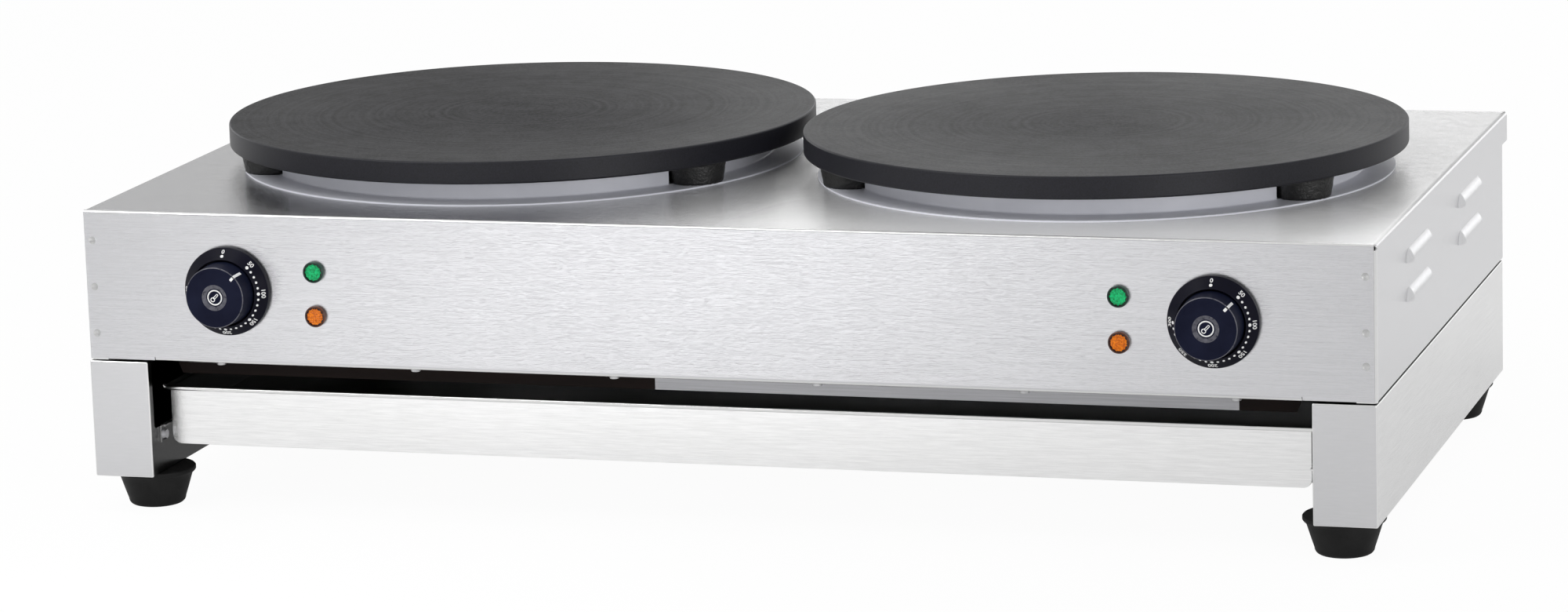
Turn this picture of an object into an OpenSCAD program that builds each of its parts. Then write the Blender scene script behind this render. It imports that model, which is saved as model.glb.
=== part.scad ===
// Twin-plate electric crepe maker.
// Two cast iron griddle plates stand on a folded stainless housing. The housing sits on
// two hollow side rails with rubber feet, and a shallow tray slides between the rails.
// Millimetres. X runs across the front, Y from the front to the back, Z up.
// The origin is on the table, under the middle of the body.

/* [Griddle plates] */
// Diameter of each griddle plate
plate_d = 400; // [330:5:480]
// Thickness of a griddle plate
plate_t = 15; // [12:0.5:24]
// Rounding of a plate's rim
plate_edge_r = 1.5; // [0.5:0.25:3]
// Gap between the two plates
plate_space = 8; // [4:1:60]
// Height of a plate's underside above the top sheet
plate_rise = 16; // [13:0.5:30]
// Distance from a plate's rim to the side of the housing
side_margin = 26; // [18:1:80]
// Distance from a plate's rim to the front of the housing
front_margin = 35; // [25:1:100]
// Distance from a plate's rim to the rear of the housing
rear_margin = 25; // [15:1:100]
// Number of cast feet under a plate
lug_count = 3; // [3:1:4]
// Diameter of a cast foot where it joins the plate
lug_top_d = 40; // [30:1:46]
// Diameter of a cast foot at its lower end
lug_end_d = 36; // [26:1:44]
// Distance from a plate's rim in to the middle of a cast foot
lug_inset = 26; // [24:1:30]

/* [Plate skirt and element tray] */
// Thickness of the skirt and tray sheet
skirt_t = 1; // [0.6:0.1:2]
// Distance from a plate's rim in to the skirt's upright wall
skirt_inset = 29; // [25:1:40]
// Distance from a plate's rim in to the edge of the skirt's flange
flange_inset = 9; // [2:1:20]
// Gap between the skirt's upright wall and the plate
skirt_gap = 1.5; // [0.5:0.5:5]
// Width of the element tray's rim
tray_rim_w = 11.5; // [8:0.5:20]
// Depth of the element tray below the top sheet
tray_depth = 18; // [12:1:30]

/* [Heating] */
// Diameter of the heating element's tube
element_d = 8.5; // [6:0.5:10]
// Distance from a plate's rim in to the outer ring of the element
ring_inset = 65; // [50:1:80]
// Distance between the two rings of the element
ring_pitch = 55; // [40:1:70]
// Angle left open between a ring's two ends
ring_gap_deg = 24; // [16:1:40]
// Width of the clamp bar that holds the element up
clamp_w = 25; // [15:1:40]
// Thickness of the clamp bar
clamp_t = 3; // [2:0.5:5]
// Diameter of the screw in the middle of the clamp bar
clamp_screw_d = 8; // [5:0.5:10]
// Diameter of the thermostat's sensor bulb
bulb_d = 6; // [4:0.5:8]
// Length of the sensor bulb
bulb_len = 80; // [50:5:100]

/* [Housing] */
// Height of the housing
housing_h = 100; // [85:1:160]
// Thickness of the housing's sheet
sheet_t = 1.2; // [0.8:0.1:2]
// Outer radius of the sheet's bends
bend_r = 3; // [2.2:0.1:5]
// Width of the sheet's inner flanges
flange_w = 13; // [10:1:20]
// Length of the top sheet past the rear panel
rear_overhang = 20; // [5:1:24]
// Height of the lip at the rear of the top sheet
rear_lip_h = 20; // [8:1:30]
// Length of a side louvre
louvre_len = 80; // [50:1:120]
// Height of a side louvre
louvre_h = 9; // [8:0.5:18]
// Height by which a louvre stands out
louvre_out = 4; // [2:0.5:6]
// Distance between the upper and the lower row of louvres
louvre_pitch = 25; // [20:0.5:35]

/* [Base] */
// Height of a side rail
base_h = 79; // [70:1:120]
// Width of a side rail
rail_w = 41; // [36:1:60]
// Height of the rail's inner wall under the drawer
rail_lip_h = 33; // [28:1:50]
// Depth of the full-height part of the rail's inner wall, at each end
rail_return = 6; // [4:1:30]
// Height of a rubber foot
foot_h = 25; // [15:1:60]
// Diameter of a rubber foot's top
foot_top_d = 53; // [36:1:56]
// Diameter of a rubber foot's tread
foot_end_d = 38; // [28:1:46]
// Distance from the body's side to the middle of a foot
foot_in_x = 28; // [27:1:32]
// Distance from the body's front or rear to the middle of a foot
foot_in_y = 35; // [28:1:80]

/* [Drawer] */
// Distance from the front of the rails back to the drawer's front
drawer_recess = 24; // [15:1:50]
// Gap between the drawer's front and a rail
drawer_side_gap = 5; // [5:0.5:12]
// Height of the tray's walls
drawer_wall_h = 23; // [15:1:26]
// Length by which the drawer's front hangs below the tray
drawer_drop = 15; // [2:1:24]
// Radius of the lower corners of the drawer's front
drawer_corner_r = 6; // [2:1:12]
// Depth of the tray
drawer_depth = 420; // [200:5:425]
// Thickness of the drawer's sheet
drawer_t = 1; // [0.8:0.1:1.5]
// Thickness of the folded hem along the top of the drawer's front
hem_d = 3; // [2:0.5:5]
// Width of a drawer runner's ledge
runner_w = 18; // [14:1:30]

/* [Controls] */
// Distance from the body's side to the middle of a dial
dial_inset = 101.5; // [60:0.5:130]
// Height of the dial's middle above the housing's lower edge
dial_height = 49.3; // [35:0.1:60]
// Diameter of the dial ring on the front panel
dial_d = 58.5; // [54:0.5:66]
// Height of the dial ring's rim
dial_rim_h = 4; // [2:0.5:5]
// Height of the dial ring's cone, from the front panel
dial_h = 10.5; // [7:0.5:12]
// Diameter of the dial ring's cone at its top
dial_top_d = 45; // [44:0.5:50]
// Thickness of the dial ring's floor
dial_t = 2.5; // [1:0.1:3]
// Diameter of the knob's grip behind
knob_grip_d = 42; // [33:0.5:42.5]
// Diameter of the knob's face
knob_face_d = 40; // [30:0.5:42]
// Distance from the front panel to the knob's face
knob_reach = 25; // [20:0.5:40]
// Diameter of the thermostat's shaft
shaft_d = 6; // [4:0.5:8]
// Diameter of the thermostat's bush
bush_d = 10; // [8.8:0.1:12]
// Diameter of a lamp's lens
lamp_d = 14; // [13:0.5:20]
// Diameter of a lamp's neck
lamp_neck_d = 11; // [8:0.5:12]
// Distance from a dial's middle to the lamps beside it
lamp_offset = 60.5; // [45:0.5:90]
// Height of the lower lamp above the housing's lower edge
lamp_low = 34; // [20:0.5:50]
// Distance between the lower and the upper lamp
lamp_pitch = 29.3; // [20:0.1:40]

/* [Rear connections] */
// Diameter of a cable gland's thread
gland_thread_d = 20; // [16:1:25]
// Diameter of the cable passage in a gland
gland_bore_d = 10; // [6:0.5:12]
// Distance from the rear panel to the end of a gland
gland_reach = 25; // [24:0.5:40]
// Height of the glands above the housing's lower edge
gland_height = 46; // [25:1:60]
// Diameter of the free end of the earth terminal's stud
earth_d = 6; // [5:0.5:8]
// Length of the earth terminal's stud outside the rear panel
earth_reach = 22; // [14:1:24]

/* [Fasteners and clearances] */
// Diameter of the sheet screws
screw_d = 4; // [3:0.5:5]
// Diameter of the rail bolts and the plate studs
bolt_d = 6; // [5:0.5:8]
// Added to a screw's diameter for its hole
hole_clear = 0.6; // [0.3:0.1:1]
// Gap round a shaft in its bearing, on the radius
run_clear = 0.05; // [0.02:0.01:0.1]
// Gap between the drawer and what it slides on
slide_clear = 0.3; // [0.2:0.1:1]

/* [Hidden] */
$fn = 96;
LEFT = -1;
RIGHT = 1;
GREEN = 1;
AMBER = 0;
eps = 0.01;
through = 50;

// Outer sizes and levels
body_w = 2 * plate_d + plate_space + 2 * side_margin;
body_d = plate_d + front_margin + rear_margin;
side_x = body_w / 2;
front_y = -body_d / 2;
rear_y = body_d / 2;
rail_top_z = foot_h + base_h;
top_z = rail_top_z + housing_h;
plate_z = top_z + plate_rise;
plate_x = (plate_d + plate_space) / 2;
plate_y = front_y + front_margin + plate_d / 2;

// Plates, skirts and trays
lug_ring_r = plate_d / 2 - lug_inset;
lug_start_deg = -30;
skirt_r = plate_d / 2 - skirt_inset;
flange_r = plate_d / 2 - flange_inset;
flange_top_z = top_z + skirt_t;
tray_rim_r = skirt_r - skirt_t - 0.5;
tray_r = tray_rim_r - tray_rim_w;
tray_floor_z = top_z - tray_depth;
stud_top_z = plate_z - 4;
stud_end_z = top_z - sheet_t - 14;
nut_h = 5;
washer_h = 1.5;

// Heating
ring_out_r = plate_d / 2 - ring_inset;
ring_in_r = ring_out_r - ring_pitch;
ring_z = plate_z - element_d / 2 - 0.1;
ring_start_deg = 90 + ring_gap_deg / 2;
ring_end_deg = 90 - ring_gap_deg / 2;
leg_end_z = tray_floor_z - 14;
leg_pin_len = 10;
clamp_top_z = plate_z - element_d - 0.2;
clamp_half = ring_out_r + 10;
bulb_z = plate_z - bulb_d / 2 - 0.1;
bulb_r = (ring_out_r + ring_in_r) / 2 - 6;
capillary_d = 2;
capillary_x = bulb_len / 2 + 6;
capillary_z = tray_floor_z - 6;
pass_d = 14;

// Housing
panel_back_y = front_y + sheet_t;
wall_x = side_x - sheet_t;
front_open_x = side_x - rail_w - 6;
floor_z = rail_top_z + sheet_t;
floor_t = 1;
front_screw_y = front_y + 9;
rear_screw_y = rear_y - 9;
screw_xs = [for (k = [-2.5:1:2.5]) k * (2 * side_x - 2 * rail_w + 38) / 6];
louvre_ys = [plate_y - 93, plate_y + 93];
louvre_top_z = rail_top_z + 68;
louvre_arc_r = (louvre_h * louvre_h + louvre_out * louvre_out) / (2 * louvre_out);
rear_slot_h = 46;
rear_slot_w = 4;

// Base
rail_in_x = side_x - rail_w;
lip_top_z = foot_h + rail_lip_h;
rail_bend_r = 2.5;
rail_bolt_x = side_x - 9;
rail_bolt_ys = [for (k = [-1:1]) k * (body_d / 2 - 50)];
cross_y = front_y + 25;
cross_drop = 11.5;
cross_depth = 20;
cross_x = rail_in_x - 9.5;
rear_tie_x = rail_in_x + 14;
tie_low_z = foot_h + 20;

// Drawer
drawer_y = front_y + drawer_recess;
drawer_half = rail_in_x - drawer_side_gap;
tray_low_z = lip_top_z + slide_clear;
tray_top_z = tray_low_z + drawer_wall_h;
drawer_top_z = tray_top_z + 1.2;
drawer_tip_x = rail_in_x - 1;
runner_leg_h = 12;
runner_back_y = rear_y - 22;
runner_y = drawer_y + drawer_t + 1;
runner_front_y = front_y + 14;
runner_screw_z = lip_top_z - 7;
runner_screw_ys = [front_y + 18.5, 0, rear_y - 45];

// Controls
dial_x = side_x - dial_inset;
dial_z = rail_top_z + dial_height;
knob_gap = 0.8;
knob_base = dial_t + knob_gap;
dimple_d = 17;
dimple_floor_d = 11.5;
dimple_depth = 1.5;
bush_reach = 4;
shaft_in = 30;
shaft_out = knob_reach - 4;
stat_size = 38;
stat_depth = 40;
stat_screw_pitch = 28;
lamp_x = dial_x - lamp_offset;
lamp_body_d = lamp_neck_d + 4;
lamp_body_len = 24;
lamp_rim_h = 3.6;
lamp_dome_h = 1.2;
lamp_dome_r = (lamp_d * lamp_d / 4 + lamp_dome_h * lamp_dome_h) / (2 * lamp_dome_h);

// Rear
gland_x = plate_x;
gland_z = rail_top_z + gland_height;
gland_hex_d = gland_thread_d + 8;
gland_hex_h = 6;
gland_tail = 14;
earth_z = rail_top_z + 24;
earth_shank_d = earth_d + 2;
earth_nut_h = 5;
rear_slot_x = gland_x + 40;
rear_slot_count = 10;
block_y = rear_y - 70;
block_z = floor_z + floor_t;
block_size = [64, 26, 22];
block_way_z = 9;

// Every piece of the machine, by name

// ---- Shared shapes ----

// A block between two corners
module block(low, high) {
    translate(low) cube(high - low);
}

// Works on the right-hand side as drawn, on the left-hand side mirrored
module on_side(side) {
    if (side < 0) mirror([1, 0, 0]) children();
    else children();
}

module on_both_sides() {
    for (side = [LEFT, RIGHT]) on_side(side) children();
}

// Turns local +Z to point out of the front panel
module from_front(x, z) {
    translate([x, front_y, z]) rotate([90, 0, 0]) children();
}

// Turns local +Z to point out of the rear panel
module from_rear(x, z) {
    translate([x, rear_y, z]) rotate([-90, 0, 0]) children();
}

// The places of the cast feet round one plate
module at_lugs() {
    for (k = [0:lug_count - 1])
        rotate(lug_start_deg + k * 360 / lug_count) translate([lug_ring_r, 0, 0]) children();
}

module at_plate(side) {
    translate([side * plate_x, plate_y, 0]) children();
}

module at_feet() {
    for (x = [LEFT, RIGHT], y = [-1, 1])
        translate([x * (side_x - foot_in_x), y * (body_d / 2 - foot_in_y), 0]) children();
}

// Outline of a rectangle with rounded upper corners, its top edge on the X axis
module round_top(w, h, r) {
    translate([-w / 2, -h]) square([w, h - r]);
    translate([-w / 2 + r, -h]) square([w - 2 * r, h]);
    for (s = [-1, 1]) translate([s * (w / 2 - r), -r]) circle(r);
}

// Outline of a rectangle with four rounded corners, lower left corner at the origin
module round_rect(w, h, r) {
    translate([r, 0]) square([w - 2 * r, h]);
    translate([0, r]) square([w, h - 2 * r]);
    for (x = [r, w - r], y = [r, h - r]) translate([x, y]) circle(r);
}

// Sheet bent to an upside-down U, extruded from y0 to y1
module folded_top(y0, y1, h) {
    translate([0, y1, top_z]) rotate([90, 0, 0]) linear_extrude(y1 - y0) difference() {
        round_top(body_w, h, bend_r);
        translate([0, -sheet_t])
            round_top(body_w - 2 * sheet_t, h, bend_r - sheet_t);
    }
}

// A quarter of a bent strip, centred on the origin in the first quadrant
module bend_outline() {
    intersection() {
        difference() {
            circle(bend_r);
            circle(bend_r - sheet_t);
        }
        square(bend_r);
    }
}

// A pan head screw that points along +Z, with its head's seat at the origin
module pan_screw(d, len) {
    cylinder(h = len, d = d);
    translate([0, 0, -0.6 * d]) cylinder(h = 0.6 * d, d1 = 1.5 * d, d2 = 2 * d);
}

// A hexagonal nut with a plain hole
module hex_nut(d, across, h) {
    difference() {
        cylinder(h = h, d = across / cos(30), $fn = 6);
        translate([0, 0, -eps]) cylinder(h = h + 2 * eps, d = d + 2 * run_clear);
    }
}

// A round wire or tube along a route of points that turns only at right angles
module wire(route, d) {
    for (k = [0:len(route) - 2]) {
        step = route[k + 1] - route[k];
        turn = abs(step[0]) > eps ? [0, 90, 0] : abs(step[1]) > eps ? [-90, 0, 0] : [0, 0, 0];
        reach = step[0] + step[1] + step[2];
        start = reach > 0 ? route[k] : route[k + 1];
        translate(start) rotate(turn) cylinder(h = abs(reach), d = d, $fn = 24);
        if (k > 0) translate(route[k]) sphere(d = d + 0.4, $fn = 24);
    }
}

// ---- Housing ----

// A louvre's bulge, thinner by less
module louvre_bulge(less) {
    arc_r = louvre_arc_r - less;
    straight = louvre_len - 2 * louvre_h;
    translate([side_x + louvre_out - louvre_arc_r, 0, 0]) rotate([-90, 0, 0])
        rotate_extrude() intersection() {
            union() {
                translate([0, -straight / 2]) square([arc_r, straight]);
                for (s = [-1, 1]) translate([0, s * straight / 2]) circle(arc_r);
            }
            translate([0, -2 * louvre_len]) square([2 * louvre_len, 4 * louvre_len]);
        }
}

// The part of a bulge that lies outside the wall and above its lower edge
module louvre_hood(less, inward) {
    intersection() {
        louvre_bulge(less);
        block([side_x - inward, -louvre_len, less / 2],
              [side_x + 2 * louvre_out, louvre_len, 2 * louvre_h]);
    }
}

module at_louvres() {
    for (y = louvre_ys, row = [0, 1])
        translate([0, y, louvre_top_z - row * louvre_pitch]) children();
}

// Top sheet and both side walls, bent from one sheet, with louvred sides
module housing_wrapper() {
    bend_y = panel_back_y + bend_r;
    color("gainsboro") difference() {
        union() {
            folded_top(bend_y, rear_y, housing_h);
            folded_top(rear_y - eps, rear_y + rear_overhang, rear_lip_h);
            block([-side_x + bend_r, front_y + bend_r, top_z - sheet_t],
                  [side_x - bend_r, bend_y + eps, top_z]);
            block([-wall_x, rear_y + rear_overhang - sheet_t, top_z - rear_lip_h],
                  [wall_x, rear_y + rear_overhang, top_z - sheet_t / 2]);
            on_both_sides() {
                translate([side_x - bend_r, bend_y, rail_top_z]) rotate(-90)
                    linear_extrude(housing_h - bend_r) bend_outline();
                block([side_x - flange_w, panel_back_y, rail_top_z],
                      [side_x - bend_r + eps, panel_back_y + sheet_t, top_z - bend_r]);
                block([side_x - flange_w, rear_y - 2 * sheet_t, rail_top_z],
                      [wall_x + eps, rear_y - sheet_t, top_z - bend_r]);
                block([side_x - flange_w, panel_back_y + sheet_t, rail_top_z],
                      [wall_x + eps, rear_y - 2 * sheet_t, rail_top_z + sheet_t]);
                at_louvres() louvre_hood(0, sheet_t / 2);
            }
        }
        on_both_sides() at_louvres() louvre_hood(sheet_t, 2 * sheet_t);
        for (side = [LEFT, RIGHT]) at_plate(side) {
            translate([0, 0, top_z - through / 2]) cylinder(h = through, r = tray_r + 0.6);
            at_lugs() translate([0, 0, top_z - through / 2])
                cylinder(h = through, d = bolt_d + hole_clear);
        }
        on_both_sides() {
            for (y = rail_bolt_ys) translate([rail_bolt_x, y, rail_top_z - eps])
                cylinder(h = 2 * sheet_t, d = bolt_d + hole_clear);
            for (z = rear_screw_zs()) from_rear(side_x - 7, z)
                translate([0, 0, -4 * sheet_t]) cylinder(h = through, d = screw_d + hole_clear);
        }
    }
}

function rear_screw_zs() = [rail_top_z + 14, top_z - rear_lip_h - 12];

// Cross-section of the front panel: rounded top, with or without the lower return
module front_outline(returned) {
    low = returned ? bend_r : 0.8;
    translate([front_y, rail_top_z + low]) square([sheet_t, housing_h - bend_r - low]);
    translate([front_y + bend_r, top_z - bend_r]) rotate(90) bend_outline();
    if (returned) {
        translate([front_y + bend_r, rail_top_z + bend_r]) rotate(180) bend_outline();
        translate([front_y + bend_r - eps, rail_top_z]) square([flange_w, sheet_t]);
    }
}

module along_x(x0, x1) {
    translate([x0, 0, 0]) rotate([90, 0, 90]) linear_extrude(x1 - x0) children();
}

// Front sheet with round top and bottom edges, holed for thermostats and lamps
module front_panel() {
    edge_x = side_x - sheet_t;
    color("silver") difference() {
        union() {
            along_x(-edge_x, edge_x) front_outline(false);
            along_x(-front_open_x, front_open_x) front_outline(true);
        }
        on_both_sides() {
            from_front(dial_x, dial_z) {
                translate([0, 0, -through / 2]) cylinder(h = through, d = bush_d + hole_clear);
                for (s = [-1, 1]) translate([s * stat_screw_pitch / 2, 0, -through / 2])
                    cylinder(h = through, d = screw_d + hole_clear);
            }
            for (k = [AMBER, GREEN]) from_front(lamp_x, lamp_height(k))
                translate([0, 0, -through / 2]) cylinder(h = through, d = lamp_neck_d + hole_clear);
        }
        for (x = screw_xs) translate([x, front_screw_y, rail_top_z - eps])
            cylinder(h = 2 * sheet_t, d = screw_d + hole_clear);
    }
}

function lamp_height(k) = rail_top_z + lamp_low + k * lamp_pitch;

// Rear sheet with vents, cable entries and the hole for the earth stud
module rear_panel() {
    low_z = rail_top_z;
    high_z = top_z - sheet_t - 0.3;
    in_x = side_x - bend_r;
    color("lightgray") difference() {
        union() {
            block([-in_x, rear_y - sheet_t, low_z], [in_x, rear_y, high_z]);
            block([-front_open_x, rear_y - flange_w - sheet_t, low_z],
                  [front_open_x, rear_y - eps, low_z + sheet_t]);
        }
        on_both_sides() {
            from_rear(gland_x, gland_z) translate([0, 0, -2 * sheet_t])
                cylinder(h = through, d = gland_thread_d + hole_clear);
            for (k = [0:rear_slot_count - 1])
                translate([rear_slot_x + 3 * rear_slot_w * k, rear_y - through / 2,
                           gland_z - rear_slot_h / 2])
                    cube([rear_slot_w, through, rear_slot_h]);
            for (z = rear_screw_zs()) from_rear(side_x - 7, z)
                translate([0, 0, -4 * sheet_t]) cylinder(h = through, d = screw_d + hole_clear);
        }
        from_rear(0, earth_z) translate([0, 0, -2 * sheet_t])
            cylinder(h = through, d = earth_shank_d + hole_clear);
        for (x = screw_xs) translate([x, rear_screw_y, low_z - eps])
            cylinder(h = 2 * sheet_t, d = screw_d + hole_clear);
    }
}

// Bottom sheet of the housing, with vent slots under each plate
module housing_floor() {
    slot_len = 90;
    slot_w = 6;
    color("darkgray") difference() {
        block([-wall_x + 0.5, front_y + bend_r + 0.3, floor_z],
              [wall_x - 0.5, rear_y - 2 * sheet_t - 0.3, floor_z + floor_t]);
        for (x = [-plate_x, plate_x], k = [-4:4])
            translate([x - slot_len / 2, plate_y + 3 * slot_w * k - slot_w / 2, floor_z - eps])
                cube([slot_len, slot_w, 2 * floor_t]);
        for (x = screw_xs, y = [front_screw_y, rear_screw_y]) translate([x, y, floor_z - eps])
            cylinder(h = 2 * floor_t, d = screw_d + hole_clear);
        on_both_sides() for (y = rail_bolt_ys) translate([rail_bolt_x, y, floor_z - eps])
            cylinder(h = 2 * floor_t, d = bolt_d + hole_clear);
    }
}

// ---- Base ----

// Hollow rail with closed ends; its inner wall is cut down to the height of the drawer
module side_rail(side) {
    color("gainsboro") on_side(side) difference() {
        translate([rail_in_x, rear_y, foot_h]) rotate([90, 0, 0])
            linear_extrude(body_d) round_rect(rail_w, base_h, rail_bend_r);
        translate([rail_in_x + sheet_t, rear_y - sheet_t, foot_h + sheet_t])
            rotate([90, 0, 0]) linear_extrude(body_d - 2 * sheet_t)
                round_rect(rail_w - 2 * sheet_t, base_h - 2 * sheet_t, rail_bend_r - sheet_t);
        block([rail_in_x - eps, front_y + rail_return, lip_top_z - sheet_t],
              [rail_in_x + 2 * sheet_t, rear_y - rail_return, rail_top_z - sheet_t]);
        for (y = rail_bolt_ys) translate([rail_bolt_x, y, rail_top_z - 2 * sheet_t])
            cylinder(h = through, d = bolt_d + hole_clear);
        for (y = [-1, 1]) translate([side_x - foot_in_x, y * (body_d / 2 - foot_in_y), 0])
            cylinder(h = foot_h + 2 * sheet_t, d = bolt_d + hole_clear);
        for (y = runner_screw_ys) translate([rail_in_x - eps, y, runner_screw_z])
            rotate([0, 90, 0]) cylinder(h = 2 * sheet_t, d = screw_d + hole_clear);
    }
}

// Angle that ties the rails together at the front, under the housing
module front_cross_rail() {
    high_z = rail_top_z - sheet_t;
    flange_x = rail_in_x + 16;
    bevel = 5;
    color("silver") {
        block([-flange_x, cross_y, high_z - sheet_t], [flange_x, cross_y + cross_depth, high_z]);
        translate([0, cross_y + sheet_t, high_z - sheet_t + eps]) rotate([90, 0, 0])
            linear_extrude(sheet_t)
                polygon([[-cross_x, 0], [cross_x, 0], [cross_x - bevel, sheet_t - cross_drop],
                         [bevel - cross_x, sheet_t - cross_drop]]);
    }
}

// Sheet across the rear of both rails
module base_rear_tie() {
    color("lightgray") difference() {
        block([-rear_tie_x, rear_y, tie_low_z], [rear_tie_x, rear_y + sheet_t, rail_top_z - 1]);
        on_both_sides() for (z = tie_screw_zs()) from_rear(tie_screw_x(), z)
            translate([0, 0, -eps]) cylinder(h = 2 * sheet_t, d = screw_d + hole_clear);
    }
}

function tie_screw_zs() = [tie_low_z + 12, rail_top_z - 13];
function tie_screw_x() = rail_in_x + 8;

// Angle inside a rail, on whose ledge the drawer slides; it runs on past the drawer's front
module runner(side) {
    color("lightgray") on_side(side) difference() {
        union() {
            block([rail_in_x - sheet_t, runner_front_y, lip_top_z - runner_leg_h],
                  [rail_in_x, runner_back_y, lip_top_z]);
            block([drawer_half + 0.6, runner_front_y, lip_top_z - sheet_t],
                  [rail_in_x - sheet_t / 2, runner_y + eps, lip_top_z]);
            block([rail_in_x - runner_w, runner_y, lip_top_z - sheet_t],
                  [rail_in_x - sheet_t / 2, runner_back_y, lip_top_z]);
        }
        for (y = runner_screw_ys) translate([rail_in_x - 2 * sheet_t, y, runner_screw_z])
            rotate([0, 90, 0]) cylinder(h = 3 * sheet_t, d = screw_d + hole_clear);
    }
}

// Tapered rubber foot with a rounded tread and a recess for its bolt
module foot(x, y) {
    tread_r = 4;
    rim_h = 3;
    color("#202020") translate([x * (side_x - foot_in_x), y * (body_d / 2 - foot_in_y), 0])
        difference() {
            rotate_extrude() {
                square([foot_end_d / 2 - tread_r, foot_h]);
                translate([foot_end_d / 2 - tread_r, tread_r]) circle(tread_r);
                polygon([[0, tread_r], [foot_end_d / 2, tread_r],
                         [foot_top_d / 2 - 1.8, foot_h - rim_h], [0, foot_h - rim_h]]);
                translate([0, foot_h - rim_h - eps]) square([foot_top_d / 2, rim_h + eps]);
            }
            translate([0, 0, -eps]) cylinder(h = foot_h / 2, d = 2.6 * bolt_d);
            cylinder(h = foot_h + eps, d = bolt_d + 2 * run_clear);
        }
}

// ---- Drawer ----

// Open tray with side flanges turned outwards over the runners
module drawer_tray() {
    back_y = drawer_y + drawer_t + drawer_depth;
    in_y = drawer_y + 2 * drawer_t;
    wall = drawer_half - 0.5;
    color("silver") {
        difference() {
            block([-wall, drawer_y + drawer_t, tray_low_z], [wall, back_y, tray_top_z]);
            block([-wall + drawer_t, in_y, tray_low_z + drawer_t],
                  [wall - drawer_t, back_y - drawer_t, tray_top_z + 1]);
        }
        on_both_sides() {
            block([wall - eps, drawer_y + drawer_t, tray_top_z - drawer_t],
                  [drawer_tip_x, back_y, tray_top_z]);
            block([drawer_tip_x - drawer_t, drawer_y + drawer_t, tray_top_z - eps],
                  [drawer_tip_x, back_y, tray_top_z + 1.5]);
        }
    }
}

// Front of the drawer: a sheet with two round corners and a hem along the top
module drawer_front() {
    height = drawer_top_z - tray_low_z + drawer_drop;
    low_z = tray_low_z - drawer_drop;
    color("whitesmoke") {
        translate([0, drawer_y + drawer_t, low_z]) rotate([90, 0, 0]) linear_extrude(drawer_t) {
            translate([-drawer_half, drawer_corner_r])
                square([2 * drawer_half, height - drawer_corner_r - hem_d / 2]);
            translate([-drawer_half + drawer_corner_r, 0])
                square([2 * (drawer_half - drawer_corner_r), drawer_corner_r + eps]);
            for (s = [-1, 1]) translate([s * (drawer_half - drawer_corner_r), drawer_corner_r])
                circle(drawer_corner_r);
        }
        along_x(-drawer_tip_x, drawer_tip_x)
            translate([drawer_y + drawer_t - hem_d / 2, drawer_top_z - hem_d / 2])
                circle(d = hem_d, $fn = 48);
    }
}

// ---- Griddle plates and what heats them ----

// Cast iron disc with a rounded rim and tapered cast feet
module griddle_plate(side) {
    rim = plate_d / 2;
    stud_hole = bolt_d + 2 * run_clear;
    color("#3a3a3c") at_plate(side) difference() {
        union() {
            translate([0, 0, plate_z]) rotate_extrude($fn = 180) {
                square([rim - plate_edge_r, plate_t]);
                translate([0, plate_edge_r]) square([rim, plate_t - 2 * plate_edge_r]);
                for (z = [plate_edge_r, plate_t - plate_edge_r])
                    translate([rim - plate_edge_r, z]) circle(plate_edge_r);
            }
            at_lugs() translate([0, 0, flange_top_z])
                cylinder(h = plate_z - flange_top_z + 1, d1 = lug_end_d, d2 = lug_top_d);
        }
        at_lugs() translate([0, 0, flange_top_z - eps])
            cylinder(h = stud_top_z - flange_top_z + 1, d = stud_hole);
        translate([0, 0, plate_z - eps])
            cylinder(h = plate_t / 2, d = clamp_screw_d + 2 * run_clear);
    }
}

// Bent ring round the heating space: a flange on the top sheet and an upright wall
module plate_skirt(side) {
    color("lightsteelblue") at_plate(side) difference() {
        union() {
            translate([0, 0, top_z]) cylinder(h = skirt_t, r = flange_r);
            translate([0, 0, top_z]) cylinder(h = plate_rise - skirt_gap, r = skirt_r);
        }
        translate([0, 0, top_z - eps]) cylinder(h = through, r = skirt_r - skirt_t);
        at_lugs() {
            translate([0, 0, flange_top_z]) cylinder(h = through, d = lug_top_d + 2);
            translate([0, 0, top_z - eps]) cylinder(h = through, d = bolt_d + hole_clear);
        }
    }
}

// Round dish that hangs in the top sheet by its rim and holds the insulation
module element_tray(side) {
    color("silver") at_plate(side) difference() {
        union() {
            translate([0, 0, tray_floor_z]) cylinder(h = tray_depth + skirt_t, r = tray_r);
            translate([0, 0, top_z]) cylinder(h = skirt_t, r = tray_rim_r);
        }
        translate([0, 0, tray_floor_z + skirt_t]) cylinder(h = through, r = tray_r - skirt_t);
        at_lugs() translate([0, 0, top_z - eps])
            cylinder(h = 2 * skirt_t, d = bolt_d + hole_clear);
        heater_passages();
    }
}

// Where the element's legs and the sensor's capillary go down through the dish
module heater_passages() {
    for (r = [ring_in_r, ring_out_r]) rotate(ring_end_deg)
        translate([r, 0, tray_floor_z - eps]) cylinder(h = through, d = pass_d);
    for (s = [-1, 1]) translate([s * capillary_x, -bulb_r, tray_floor_z - eps])
        cylinder(h = through, d = pass_d);
}

// Disc of ceramic fibre in the dish
module insulation(side) {
    color("ivory") at_plate(side) difference() {
        translate([0, 0, tray_floor_z + skirt_t + 0.2])
            cylinder(h = tray_depth - skirt_t - 0.7, r = tray_r - skirt_t - 0.5);
        heater_passages();
        translate([0, 0, tray_floor_z]) cylinder(h = through, d = 4 * clamp_screw_d);
    }
}

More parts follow.
